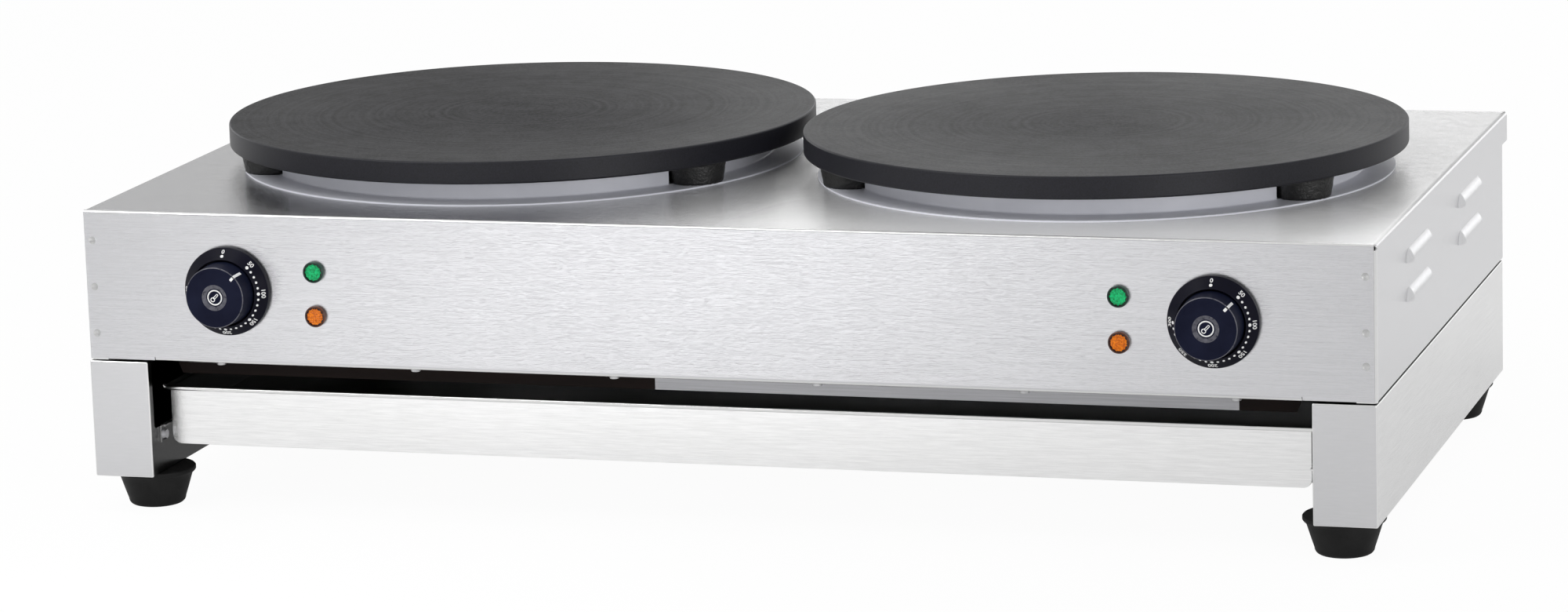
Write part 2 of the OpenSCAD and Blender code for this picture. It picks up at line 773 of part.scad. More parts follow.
// Sheathed tube bent to two open rings, joined at one end, with two legs down
module heating_element(side) {
    leg_h = ring_z - leg_end_z;
    color("#555a58") at_plate(side) {
        for (r = [ring_in_r, ring_out_r]) {
            translate([0, 0, ring_z]) rotate(ring_start_deg)
                rotate_extrude(angle = 360 - ring_gap_deg)
                    translate([r, 0]) circle(d = element_d, $fn = 48);
            rotate(ring_end_deg) translate([r, 0, leg_end_z]) {
                cylinder(h = leg_h, d = element_d, $fn = 48);
                translate([0, 0, leg_h]) sphere(d = element_d + 0.1, $fn = 48);
                translate([0, 0, -leg_pin_len])
                    cylinder(h = leg_pin_len + 1, d = element_d / 2, $fn = 32);
            }
            rotate(ring_start_deg) translate([r, 0, ring_z])
                sphere(d = element_d + 0.1, $fn = 48);
        }
        rotate(ring_start_deg) translate([ring_in_r, 0, ring_z]) rotate([0, 90, 0])
            cylinder(h = ring_pitch, d = element_d, $fn = 48);
    }
}

// Flat bar across the underside that presses the element against the plate
module element_clamp(side) {
    color("silver") at_plate(side) difference() {
        block([-clamp_half, -clamp_w / 2, clamp_top_z - clamp_t],
              [clamp_half, clamp_w / 2, clamp_top_z]);
        translate([0, 0, clamp_top_z - clamp_t - eps])
            cylinder(h = 2 * clamp_t, d = clamp_screw_d + 2 * run_clear);
    }
}

// Sensor bulb under the plate, with its capillary led to the thermostat
module sensor(side) {
    end_x = bulb_len / 2;
    stat_top = dial_z + stat_size / 2;
    stat_y = front_y + sheet_t + stat_depth / 2;
    color("peru") on_side(side) {
        translate([plate_x, plate_y - bulb_r, bulb_z]) rotate([0, 90, 0])
            translate([0, 0, -end_x]) cylinder(h = bulb_len, d = bulb_d, $fn = 48);
        wire([[plate_x + end_x - 1, plate_y - bulb_r, bulb_z],
              [plate_x + capillary_x, plate_y - bulb_r, bulb_z],
              [plate_x + capillary_x, plate_y - bulb_r, capillary_z],
              [dial_x, plate_y - bulb_r, capillary_z],
              [dial_x, stat_y, capillary_z],
              [dial_x, stat_y, stat_top]], capillary_d);
    }
}

// Over-temperature switch on the underside of the dish
module limit_switch(side) {
    can_h = 12;
    can_d = 18;
    ears = [28, 8, 2];
    color("#303030") at_plate(side) translate([0, plate_d / 8, tray_floor_z - can_h]) {
        cylinder(h = can_h, d = can_d);
        translate([-ears[0] / 2, -ears[1] / 2, can_h - ears[2]]) cube(ears);
    }
}

// ---- Controls ----

// Thermostat: housing and bush in one, bored for its shaft
module thermostat(side) {
    bush_r = bush_d / 2;
    color("#d8d2c0") from_front(side * dial_x, dial_z) difference() {
        union() {
            translate([-stat_size / 2, -stat_size / 2, -sheet_t - stat_depth])
                cube([stat_size, stat_size, stat_depth]);
            translate([0, 0, -sheet_t - 1]) cylinder(h = sheet_t + 1 + bush_reach, r = bush_r);
        }
        translate([0, 0, -sheet_t - shaft_in]) cylinder(h = through, d = shaft_d + 2 * run_clear);
        for (s = [-1, 1]) translate([s * stat_screw_pitch / 2, 0, -10 - sheet_t])
            cylinder(h = 10 + eps, d = screw_d);
    }
}

// Shaft that turns in the thermostat and carries the knob
module thermostat_shaft(side) {
    color("silver") from_front(side * dial_x, dial_z)
        translate([0, 0, 1 - sheet_t - shaft_in])
            cylinder(h = shaft_in + sheet_t - 1 + shaft_out, d = shaft_d);
}

// Fixed dial ring: a conical collar that carries the scale, recessed for the knob
module dial_plate(side) {
    land = 0.5;
    color("#1b1b1e") from_front(side * dial_x, dial_z) difference() {
        union() {
            cylinder(h = dial_rim_h + eps, d = dial_d);
            translate([0, 0, dial_rim_h])
                cylinder(h = dial_h - dial_rim_h, d1 = dial_d, d2 = dial_top_d);
        }
        translate([0, 0, dial_t]) cylinder(h = dial_h, d = dial_top_d - 2 * land);
        translate([0, 0, -eps]) cylinder(h = 2 * dial_t, d = bush_d + 2);
    }
}

// Control knob with a slightly tapered grip and a dished middle
module knob(side) {
    grip_r = knob_grip_d / 2;
    face_r = knob_face_d / 2;
    chamfer = 1.2;
    color("#1b1b1e") from_front(side * dial_x, dial_z) difference() {
        rotate_extrude()
            polygon([[0, knob_base], [grip_r, knob_base], [face_r, knob_reach - chamfer],
                     [face_r - chamfer, knob_reach], [0, knob_reach]]);
        translate([0, 0, knob_base - eps])
            cylinder(h = shaft_out - knob_base + 0.2, d = shaft_d + 2 * run_clear);
        translate([0, 0, knob_base - eps])
            cylinder(h = bush_reach - knob_base + 1, d = bush_d + 2);
        translate([0, 0, knob_reach - dimple_depth])
            cylinder(h = dimple_depth + eps, d1 = dimple_floor_d, d2 = dimple_d);
    }
}

// Domed lens of a pilot lamp with a neck through the front panel
module lamp_lens(side, k, tint) {
    color(tint) from_front(side * lamp_x, lamp_height(k)) rotate_extrude() {
        square([lamp_d / 2, lamp_rim_h]);
        translate([0, -10]) square([lamp_neck_d / 2, 10 + eps]);
        intersection() {
            translate([0, lamp_rim_h + lamp_dome_h - lamp_dome_r]) circle(lamp_dome_r);
            translate([0, lamp_rim_h - eps]) square([lamp_d / 2, 2 * lamp_dome_h]);
        }
    }
}

// Bodies of the four pilot lamps, behind the front panel
module lamp_bodies() {
    color("#ece8dc") for (side = [LEFT, RIGHT], k = [AMBER, GREEN])
        from_front(side * lamp_x, lamp_height(k)) difference() {
            translate([0, 0, -sheet_t - lamp_body_len])
                cylinder(h = lamp_body_len, d = lamp_body_d);
            translate([0, 0, -10 - 0.5]) cylinder(h = through, d = lamp_neck_d + 2 * run_clear);
        }
}

// ---- Wiring and rear connections ----

// Ceramic terminal block with three ways, open to both sides
module terminal_block(side) {
    way_pitch = 20;
    way_d = 7;
    color("#f0ede2") translate([side * gland_x - block_size[0] / 2, block_y, block_z])
        difference() {
            cube(block_size);
            for (k = [-1:1]) translate([block_size[0] / 2 + k * way_pitch, -eps, block_way_z])
                rotate([-90, 0, 0]) cylinder(h = through, d = way_d);
        }
}

// Cable gland: hexagon against the rear panel, round cap, threaded tail inside
module cable_gland(side) {
    color("#26282a") from_rear(side * gland_x, gland_z) difference() {
        union() {
            cylinder(h = gland_hex_h, d = gland_hex_d / cos(30), $fn = 6);
            translate([0, 0, -gland_tail]) cylinder(h = gland_tail + eps, d = gland_thread_d);
            translate([0, 0, gland_hex_h]) rotate_extrude() {
                square([gland_thread_d / 2 + 2, gland_reach - gland_hex_h - 5]);
                polygon([[0, gland_reach - gland_hex_h - 5],
                         [gland_thread_d / 2 + 2, gland_reach - gland_hex_h - 5],
                         [gland_thread_d / 2 - 2, gland_reach - gland_hex_h],
                         [0, gland_reach - gland_hex_h]]);
            }
        }
        translate([0, 0, -gland_tail - eps])
            cylinder(h = gland_tail + gland_reach + 2 * eps, d = gland_bore_d);
    }
}

module gland_locknuts() {
    nut = 5;
    color("#26282a") for (side = [LEFT, RIGHT]) from_rear(side * gland_x, gland_z)
        translate([0, 0, -sheet_t - nut]) hex_nut(gland_thread_d, gland_hex_d, nut);
}

// Earth terminal: a stepped stud, its thick end held in the rear panel by two nuts
module earth_terminal() {
    nut_w = 1.7 * earth_shank_d;
    tail = 12;
    color("goldenrod") from_rear(0, earth_z) {
        translate([0, 0, -tail]) cylinder(h = tail + earth_nut_h, d = earth_shank_d);
        cylinder(h = earth_reach, d = earth_d);
        hex_nut(earth_shank_d, nut_w, earth_nut_h);
        translate([0, 0, -sheet_t - earth_nut_h]) hex_nut(earth_shank_d, nut_w, earth_nut_h);
    }
}

// Insulated leads from the gland to the block and on to the element's legs
module wiring(side) {
    lead_d = 5;
    lead_z = block_z + block_way_z;
    high_z = lead_z + 12;
    bend_y = rear_y - gland_tail - 18;
    leg = [plate_x + ring_out_r * cos(ring_end_deg), plate_y + ring_out_r * sin(ring_end_deg)];
    inner = [plate_x + ring_in_r * cos(ring_end_deg), plate_y + ring_in_r * sin(ring_end_deg)];
    stat_back_y = front_y + sheet_t + stat_depth;
    stat_lead_x = dial_x - 6;
    low_leg = leg_end_z - leg_pin_len;
    color("#b03028") on_side(side) {
        wire([[gland_x, rear_y - gland_tail, gland_z], [gland_x, bend_y, gland_z],
              [gland_x, bend_y, lead_z], [gland_x, block_y + block_size[1], lead_z]], lead_d);
        wire([[gland_x + 20, block_y, lead_z], [gland_x + 20, leg[1] - 30, lead_z],
              [leg[0], leg[1] - 30, lead_z], [leg[0], leg[1], lead_z],
              [leg[0], leg[1], low_leg]], lead_d);
        wire([[inner[0], inner[1], low_leg], [inner[0], inner[1], high_z],
              [stat_lead_x, inner[1], high_z], [stat_lead_x, stat_back_y + 20, high_z],
              [stat_lead_x, stat_back_y + 20, dial_z], [stat_lead_x, stat_back_y, dial_z]],
             lead_d);
    }
}

// ---- Fasteners ----

module plate_studs() {
    color("silver") for (side = [LEFT, RIGHT]) at_plate(side) at_lugs()
        translate([0, 0, stud_end_z]) cylinder(h = stud_top_z - stud_end_z, d = bolt_d);
}

// A washer and a nut under the top sheet on each plate stud
module plate_nuts() {
    low_z = top_z - sheet_t;
    color("silver") for (side = [LEFT, RIGHT]) at_plate(side) at_lugs() {
        translate([0, 0, low_z - washer_h]) difference() {
            cylinder(h = washer_h, d = 2.2 * bolt_d);
            translate([0, 0, -eps]) cylinder(h = 2 * washer_h, d = bolt_d + 2 * run_clear);
        }
        translate([0, 0, low_z - washer_h - nut_h]) hex_nut(bolt_d, 1.7 * bolt_d, nut_h);
    }
}

// The stud and nut that pull each clamp bar up
module clamp_screws() {
    nut_top_z = clamp_top_z - clamp_t;
    stud_low_z = nut_top_z - nut_h - 2;
    color("silver") for (side = [LEFT, RIGHT]) at_plate(side) {
        translate([0, 0, stud_low_z])
            cylinder(h = plate_z + plate_t / 2 - 1 - stud_low_z, d = clamp_screw_d);
        translate([0, 0, nut_top_z - nut_h])
            hex_nut(clamp_screw_d, 1.6 * clamp_screw_d, nut_h);
    }
}

// Screws of the floor, of the rear panel, of the base's rear sheet and of the thermostats
module housing_screws() {
    color("silver") {
        for (x = screw_xs, y = [front_screw_y, rear_screw_y])
            translate([x, y, rail_top_z]) pan_screw(screw_d, 8);
        on_both_sides() {
            for (z = rear_screw_zs()) from_rear(side_x - 7, z) mirror([0, 0, 1])
                pan_screw(screw_d, 10);
            for (z = tie_screw_zs()) translate([0, sheet_t, 0]) from_rear(tie_screw_x(), z)
                mirror([0, 0, 1]) pan_screw(screw_d, sheet_t);
            for (s = [-1, 1]) from_front(dial_x + s * stat_screw_pitch / 2, dial_z)
                translate([0, 0, -9]) cylinder(h = 9, d = screw_d - 2 * run_clear);
        }
    }
}

// Bolts with nuts that join the floor, the wrapper and the rails
module rail_bolts() {
    seat_z = floor_z + floor_t;
    color("silver") on_both_sides() for (y = rail_bolt_ys) translate([rail_bolt_x, y, 0]) {
        translate([0, 0, seat_z]) cylinder(h = 4, d = 1.7 * bolt_d / cos(30), $fn = 6);
        translate([0, 0, rail_top_z - sheet_t - 9])
            cylinder(h = seat_z - rail_top_z + sheet_t + 9 + eps, d = bolt_d);
        translate([0, 0, rail_top_z - sheet_t - nut_h]) hex_nut(bolt_d, 1.7 * bolt_d, nut_h);
    }
}

// A bolt up through each foot, with its nut inside the rail
module foot_bolts() {
    head_z = foot_h / 2 - 4;
    color("silver") at_feet() {
        translate([0, 0, head_z]) cylinder(h = 4 - eps, d = 2 * bolt_d);
        translate([0, 0, head_z + 3]) cylinder(h = foot_h - head_z + 7, d = bolt_d);
        translate([0, 0, foot_h + sheet_t]) hex_nut(bolt_d, 1.7 * bolt_d, nut_h);
    }
}

module runner_screws() {
    color("silver") on_both_sides() for (y = runner_screw_ys)
        translate([rail_in_x - sheet_t, y, runner_screw_z]) rotate([0, 90, 0])
            pan_screw(screw_d, 7);
}

housing_wrapper();
front_panel();
rear_panel();
housing_floor();
side_rail(LEFT);  // side_rail_left
side_rail(RIGHT);  // side_rail_right
front_cross_rail();
base_rear_tie();
runner(LEFT);  // runner_left
runner(RIGHT);  // runner_right
drawer_tray();
drawer_front();
foot(LEFT, -1);  // foot_front_left
foot(RIGHT, -1);  // foot_front_right
foot(LEFT, 1);  // foot_rear_left
foot(RIGHT, 1);  // foot_rear_right
griddle_plate(LEFT);  // griddle_plate_left
griddle_plate(RIGHT);  // griddle_plate_right
plate_skirt(LEFT);  // plate_skirt_left
plate_skirt(RIGHT);  // plate_skirt_right
element_tray(LEFT);  // element_tray_left
element_tray(RIGHT);  // element_tray_right
insulation(LEFT);  // insulation_left
insulation(RIGHT);  // insulation_right
heating_element(LEFT);  // heating_element_left
heating_element(RIGHT);  // heating_element_right
element_clamp(LEFT);  // element_clamp_left
element_clamp(RIGHT);  // element_clamp_right
sensor(LEFT);  // sensor_left
sensor(RIGHT);  // sensor_right
limit_switch(LEFT);  // limit_switch_left
limit_switch(RIGHT);  // limit_switch_right
thermostat(LEFT);  // thermostat_left
thermostat(RIGHT);  // thermostat_right
thermostat_shaft(LEFT);  // thermostat_shaft_left
thermostat_shaft(RIGHT);  // thermostat_shaft_right
dial_plate(LEFT);  // dial_plate_left
dial_plate(RIGHT);  // dial_plate_right
knob(LEFT);  // knob_left
knob(RIGHT);  // knob_right
lamp_lens(LEFT, GREEN, "seagreen");  // green_lens_left
lamp_lens(RIGHT, GREEN, "seagreen");  // green_lens_right
lamp_lens(LEFT, AMBER, "darkorange");  // amber_lens_left
lamp_lens(RIGHT, AMBER, "darkorange");  // amber_lens_right
lamp_bodies();
terminal_block(LEFT);  // terminal_block_left
terminal_block(RIGHT);  // terminal_block_right
cable_gland(LEFT);  // cable_gland_left
cable_gland(RIGHT);  // cable_gland_right
gland_locknuts();
earth_terminal();
wiring(LEFT);  // wiring_left
wiring(RIGHT);  // wiring_right
plate_studs();
plate_nuts();
clamp_screws();
housing_screws();
rail_bolts();
foot_bolts();
runner_screws();
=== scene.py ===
import math

import bmesh
import bpy
from mathutils import Matrix, Vector


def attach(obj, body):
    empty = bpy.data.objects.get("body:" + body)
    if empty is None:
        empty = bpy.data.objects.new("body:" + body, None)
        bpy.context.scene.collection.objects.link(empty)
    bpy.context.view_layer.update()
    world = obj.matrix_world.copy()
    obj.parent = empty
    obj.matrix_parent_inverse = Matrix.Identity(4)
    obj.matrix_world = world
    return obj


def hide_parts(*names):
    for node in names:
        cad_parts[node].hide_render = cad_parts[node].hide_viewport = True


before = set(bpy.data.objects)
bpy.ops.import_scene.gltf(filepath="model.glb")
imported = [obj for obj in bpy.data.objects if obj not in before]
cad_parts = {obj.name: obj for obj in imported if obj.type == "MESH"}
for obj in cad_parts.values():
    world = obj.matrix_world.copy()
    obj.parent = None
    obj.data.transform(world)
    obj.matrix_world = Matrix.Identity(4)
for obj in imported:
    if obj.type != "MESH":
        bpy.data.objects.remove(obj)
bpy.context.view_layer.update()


# ---- Camera ----
# A long lens to the right of the machine and a little above it, turned towards the middle
# of the front. It has no shift, and everything is in focus.

camera = bpy.data.cameras.new("camera")
camera.sensor_width = 36
camera.lens = 129.112
viewpoint = bpy.data.objects.new("camera", camera)
bpy.context.collection.objects.link(viewpoint)
viewpoint.matrix_world = (
    Matrix.Translation((1.07582, -3.56367, 0.87581))
    @ Matrix.Rotation(math.radians(17.101), 4, "Z")
    @ Matrix.Rotation(math.radians(90 - 11.687), 4, "X")
    @ Matrix.Rotation(math.radians(-1.790), 4, "Z")
)
bpy.context.scene.camera = viewpoint


# ---- Side rails ----
# Two hollow rails folded from stainless sheet, welded shut at their ends and brushed
# lengthwise. They carry the housing, and their inner wall is cut out over the drawer's
# runner.

def mm(*values):
    """Millimetres to metres."""
    return [value / 1000 for value in values]


def only(piece):
    """Selects one object and makes it the active one."""
    bpy.ops.object.select_all(action="DESELECT")
    piece.select_set(True)
    bpy.context.view_layer.objects.active = piece


def start(name, shape, scale=(1, 1, 1), **settings):
    """Adds one primitive and moves its place into its mesh."""
    bpy.ops.object.select_all(action="DESELECT")
    getattr(bpy.ops.mesh, f"primitive_{shape}_add")(**settings)
    piece = bpy.context.object
    piece.name = piece.data.name = name
    piece.scale = scale
    bpy.ops.object.transform_apply()
    return piece


def block(name, low, high):
    """A block between two corners in millimetres."""
    middle = [(a + b) / 2 for a, b in zip(low, high)]
    size = [b - a for a, b in zip(low, high)]
    return start(name, "cube", size=1, location=mm(*middle), scale=mm(*size))


def sided(name, side, low, high):
    """A block given for the right-hand side, on either side."""
    xs = sorted((side * low[0], side * high[0]))
    return block(name, (xs[0], *low[1:]), (xs[1], *high[1:]))


def edit(piece):
    """Opens a piece for work on its mesh."""
    only(piece)
    bpy.ops.object.mode_set(mode="EDIT")


def done():
    """Ends the work on a mesh."""
    bpy.ops.object.mode_set(mode="OBJECT")


def choose(kind, test=None):
    """Selects the vertices, edges or faces that pass a test of their middle in millimetres
    and of their direction, which is along an edge or out of a face."""
    bpy.ops.mesh.select_mode(type=kind)
    bpy.ops.mesh.select_all(action="DESELECT" if test else "SELECT")
    if not test:
        return
    mesh = bmesh.from_edit_mesh(bpy.context.object.data)
    mesh.normal_update()
    for item in {"VERT": mesh.verts, "EDGE": mesh.edges, "FACE": mesh.faces}[kind]:
        corners = [item.co] if kind == "VERT" else [corner.co for corner in item.verts]
        way = Vector()
        if kind == "EDGE":
            way = (corners[1] - corners[0]).normalized()
        if kind == "FACE":
            way = item.normal
        if test(sum(corners, Vector()) / len(corners) * 1000, way):
            item.select_set(True)
    bmesh.update_edit_mesh(bpy.context.object.data)


def bend(radius, steps):
    """Rounds the selected edges."""
    bpy.ops.mesh.bevel(offset=radius / 1000, segments=steps, affect="EDGES")


def modify(piece, kind, **settings):
    """Adds one modifier and applies it."""
    only(piece)
    modifier = piece.modifiers.new(kind, kind)
    for name, value in settings.items():
        setattr(modifier, name, value)
    bpy.ops.object.modifier_apply(modifier=kind)


def join(pieces):
    """Makes one object of several, under the first one's name."""
    bpy.ops.object.select_all(action="DESELECT")
    for piece in pieces:
        piece.select_set(True)
    bpy.context.view_layer.objects.active = pieces[0]
    if len(pieces) > 1:
        bpy.ops.object.join()
    return pieces[0]


def scrap(*pieces):
    """Deletes cutters, and models that have been copied."""
    for piece in pieces:
        bpy.data.objects.remove(piece)


def carve(piece, cutters):
    """Cuts other pieces out of one and deletes them."""
    cutter = join(cutters)
    modify(piece, "BOOLEAN", operation="DIFFERENCE", object=cutter, solver="EXACT")
    scrap(cutter)


def smooth(piece, angle=32):
    """Smooth shading between sharp edges, with flat faces kept flat."""
    only(piece)
    bpy.ops.object.shade_smooth_by_angle(angle=math.radians(angle))
    modify(piece, "WEIGHTED_NORMAL", keep_sharp=True)


def fit(piece, body, slot, finish, *nodes):
    """Gives a finished piece its material and its body, and hides the plain nodes it stands for.
    """
    piece.data.materials.clear()
    piece.data.materials.append(finish)
    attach(piece, body)
    if nodes:
        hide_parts(*nodes)


def refinish(piece, finish, test):
    """Adds a finish, for the faces whose middle in millimetres and direction pass a test."""
    piece.data.materials.append(finish)
    for face in piece.data.polygons:
        if test(face.center * 1000, face.normal):
            face.material_index = len(piece.data.materials) - 1


class Socket:
    """A node's output, on which sums and products add Math nodes."""

    def __init__(self, recipe, out):
        self.recipe = recipe
        self.out = out

    def maths(self, operation, *values):
        """A Math node on values and sockets."""
        return self.recipe.node("Math", {"operation": operation}, *values)

    def __add__(self, other):
        return self.maths("ADD", self, other)

    def __sub__(self, other):
        return self.maths("SUBTRACT", self, other)

    def __rsub__(self, other):
        return self.maths("SUBTRACT", other, self)

    def __mul__(self, other):
        return self.maths("MULTIPLY", self, other)

    def __pow__(self, other):
        return self.maths("POWER", self, other)

    __radd__ = __add__
    __rmul__ = __mul__

    def above(self, level, width):
        """0 below a level and 1 above it, with a soft step of that width."""
        return self.recipe.node("MapRange", {"clamp": True}, self, level - width / 2,
                                level + width / 2, 0.0, 1.0)


class Recipe:
    """A material with its shader, whose constant sockets are given by name."""

    def __init__(self, name, **shader):
        self.material = bpy.data.materials.new(name)
        self.material.use_nodes = True
        self.tree = self.material.node_tree
        self.shader = self.tree.nodes["Principled BSDF"]
        self.place = self.node("TexCoord", {}, out="Object")
        for socket, value in shader.items():
            self.set(socket.replace("_", " "), value)

    def node(self, kind, settings, *values, out=0, **named):
        """A node of a type, with its settings and the values or links of its sockets."""
        node = self.tree.nodes.new("ShaderNode" + kind)
        for key, value in settings.items():
            setattr(node, key, value)
        for index, value in enumerate(values):
            self.feed(node.inputs[index], value)
        for socket, value in named.items():
            self.feed(node.inputs[socket.replace("_", " ")], value)
        return Socket(self, node.outputs[out])

    def feed(self, socket, value):
        """Gives a socket its value or its link."""
        if isinstance(value, Socket):
            self.tree.links.new(value.out, socket)
        else:
            socket.default_value = value

    def set(self, socket, value):
        """Gives one of the shader's sockets its value or its link."""
        self.feed(self.shader.inputs[socket], value)

    def axes(self):
        """The place's x, y and z, in metres."""
        parts = self.node("SeparateXYZ", {}, self.place)
        return [Socket(self, parts.out.node.outputs[k]) for k in range(3)]

    def noise(self, scale, detail, roughness=0.5):
        """Noise from 0 to 1, with scale as features per metre, or one for each axis."""
        if not isinstance(scale, tuple):
            scale = (scale, scale, scale)
        where = self.node("Mapping", {"vector_type": "POINT"}, self.place, Scale=scale)
        return self.node("TexNoise", {}, where, Scale=1.0, Detail=detail, Roughness=roughness)

    def mix(self, share, one, other):
        """A blend of two colours."""
        blend = self.node("Mix", {"data_type": "RGBA"}, out=2)
        for index, value in ((0, share), (6, one), (7, other)):
            self.feed(blend.out.node.inputs[index], value)
        return blend

    def colour(self, share, one, other):
        """Gives the surface a blend of two colours."""
        self.set("Base Color", self.mix(share, one, other))

    def bump(self, height, distance):
        """Relief of a real depth in millimetres."""
        self.set("Normal", self.node("Bump", {}, Height=height, Distance=distance / 1000))


def grey(level, cool=0.0):
    """A grey with a little more blue where it is cool."""
    return (level, level, level * (1 + cool), 1.0)


def brushed(name, level, grain, roughness=0.2, streaks=0.1, relief=0.04, length=25,
            cool=0.03, painted_light_share=0.0):
    """Stainless sheet with hairlines of a length in millimetres along one axis. Where a share
    is given, light is painted on the right-hand part of the sheet: its mirror is dulled by
    that share and its colour made paler, palest towards the front."""
    recipe = Recipe(name, Metallic=1.0)
    axis = "xyz".index(grain)
    fine, broad = [5200.0] * 3, [1100.0] * 3
    fine[axis], broad[axis] = 2000.0 / length, 500.0 / length
    hair = recipe.noise(tuple(fine), 3.0, roughness=0.7)
    band = recipe.noise(tuple(broad), 2.0)
    cloud = recipe.noise(5.0, 2.0)
    tone = hair * 0.3 + band * 0.5 + cloud * 0.2
    shade = recipe.mix(tone.above(0.5, 0.4), grey(level * (1 - streaks), cool),
                       grey(level * (1 + streaks), cool))
    if painted_light_share:
        # Painted light: the right-hand part is paler and less of a mirror, and the front mask
        # makes it paler still towards the front edge.
        x, y = recipe.axes()[:2]
        painted_light_mask = x.above(-0.05, 0.16)
        front = (y * -1.0).above(0.15, 0.12)
        shade = recipe.mix(painted_light_mask, shade, recipe.mix(front, grey(0.5), grey(0.97)))
        recipe.set("Metallic", 1.0 - painted_light_mask * painted_light_share)
    recipe.set("Base Color", shade)
    recipe.set("Roughness", roughness - 0.05 + hair * 0.06 + cloud * 0.04)
    recipe.bump(hair, relief)
    return recipe.material


both_sides = ((-1, "left"), (1, "right"))
sheet_t = 1.2
side_x, rail_in_x = 430, 389
front_y, rear_y = -230, 230
rail_low_z, rail_high_z = 25, 103.2
window_low_z, window_high_z = 56.8, 102
rail_steel = brushed("rail_steel", 0.76, "y", cool=0.0)
rail_end_steel = brushed("rail_end_steel", 0.61, "x", 0.25, 0.035, 0.03, 6, cool=0.02)
# Painted shade: a near-black copy of the rail steel for faces in shade inside the rails, under the
# housing and behind the runners.
rail_shade_steel = brushed("rail_shade_steel", 0.045, "z", cool=0.0)
# Painted highlight: bends, folds and cut ends take a paler steel than the faces beside them, for
# the light they catch.
fold_highlight_steel = brushed("fold_highlight_steel", 0.74, "x", 0.16, 0.05, 0.02, cool=0.0)
for side, name in both_sides:
    rail = sided("rail_" + name, side, (rail_in_x, front_y, rail_low_z),
                 (side_x, rear_y, rail_high_z))
    edit(rail)
    choose("EDGE")
    bend(1.1, 4)
    done()
    modify(rail, "SOLIDIFY", thickness=sheet_t / 1000, offset=-1)
    window = sided("window", side, (rail_in_x - 9, front_y + 6, window_low_z),
                   (rail_in_x + 3, rear_y - 6, window_high_z))
    edit(window)
    choose("EDGE", lambda m, d: abs(d.x) > 0.9)
    bend(3, 4)
    done()
    carve(rail, [window])
    smooth(rail)
    fit(rail, "body", "brushed_sheet", rail_steel, "side_rail_" + name)
    # Painted shade on the rail's inner wall, its top under the housing and its window.
    refinish(rail, rail_shade_steel, lambda m, d: d.x * side < -0.7 or d.z > 0.6
             or abs(m.x) < rail_in_x + 0.5)
    # Painted highlight on the rail's bends.
    refinish(rail, fold_highlight_steel, lambda m, d: abs(d.y) > 0.15)
    refinish(rail, rail_end_steel, lambda m, d: abs(d.y) > 0.98)


# ---- Rubber feet ----
# Four moulded rubber feet with a collar at the top, a tapered side and a rounded tread.
# Each is held by a bolt from below, with its nut inside the rail.

def pull(x, y, z):
    """Extrudes what is selected."""
    bpy.ops.mesh.extrude_region_move(TRANSFORM_OT_translate={"value": mm(x, y, z)})


def face_out():
    """Points every face of the open piece outwards."""
    choose("FACE")
    bpy.ops.mesh.normals_make_consistent(inside=False)


def turned(name, rings, sides):
    """A turned body round the Z axis: (radius, height) of each ring, from the first up."""
    (radius, height), *others = rings
    piece = start(name, "circle", vertices=sides, radius=radius / 1000,
                  location=(0, 0, height / 1000), fill_type="NGON")
    edit(piece)
    choose("FACE")
    for next_radius, next_height in others:
        pull(0, 0, next_height - height)
        ratio = next_radius / radius
        bpy.ops.transform.resize(value=(ratio, ratio, 1),
                                 center_override=(0, 0, next_height / 1000))
        radius, height = next_radius, next_height
    face_out()
    done()
    return piece


def place(piece, at, turn=(0, 0, 0)):
    """Turns a piece in degrees, moves it to its place in millimetres and applies both."""
    piece.rotation_euler = [math.radians(angle) for angle in turn]
    piece.location = mm(*at)
    only(piece)
    bpy.ops.object.transform_apply()
    return piece


def twin(piece, name):
    """A copy with its own mesh."""
    only(piece)
    bpy.ops.object.duplicate()
    copy = bpy.context.object
    copy.name = copy.data.name = name
    return copy


def arc(middle, radius, first, last, steps):
    """Rings along an arc in the (radius, height) plane, with its angles in degrees."""
    turns = [math.radians(first + (last - first) * k / steps) for k in range(steps + 1)]
    return [(middle[0] + radius * math.cos(t), middle[1] + radius * math.sin(t)) for t in turns]


foot_x, foot_y = 402, 195
rubber = Recipe("foot_rubber", Specular_IOR_Level=0.2)
speckle = rubber.noise(900.0, 3.0)
wear = rubber.noise(60.0, 3.0)
rubber.colour(wear.above(0.62, 0.3), grey(0.006), grey(0.013))
rubber.set("Roughness", 0.5 + wear * 0.25)
rubber.bump(speckle + wear * 2.0, 0.08)
foot_model = turned("foot", [(7.8, 12), (7.8, 1), (8.6, 0), (15, 0)]
                    + arc((15, 4), 4, -80, 0, 6)
                    + [(21.0, 10), (23.2, 17), (24.4, 20.6), (25.7, 21.2), (26.5, 22.3),
                       (26.5, 24.2), (25.8, 25), (5, 25)], 72)
smooth(foot_model, 50)
for side, name in both_sides:
    for end, where in ((-1, "front"), (1, "rear")):
        foot = place(twin(foot_model, f"rubber_{where}_{name}"),
                     (side * foot_x, end * foot_y, 0))
        fit(foot, "body", "foot_rubber", rubber.material, f"foot_{where}_{name}")
scrap(foot_model)


# ---- Cross rail, runners and rear sheet of the base ----
# A folded angle ties the rails at the front. Its middle is coloured dark and both its ends
# near black, painted shade for the dark gap under the panel. An angle screwed inside each
# rail carries the drawer, and a flat sheet closes the rear. All are stainless sheet.

def near(a, b, slack=0.05):
    """Whether two places in millimetres are the same."""
    return abs(a - b) < slack


def shift(x, y, z):
    """Moves what is selected."""
    bpy.ops.transform.translate(value=mm(x, y, z))


def split(point, normal):
    """Scores the whole mesh along a plane."""
    choose("FACE")
    bpy.ops.mesh.bisect(plane_co=mm(*point), plane_no=normal)


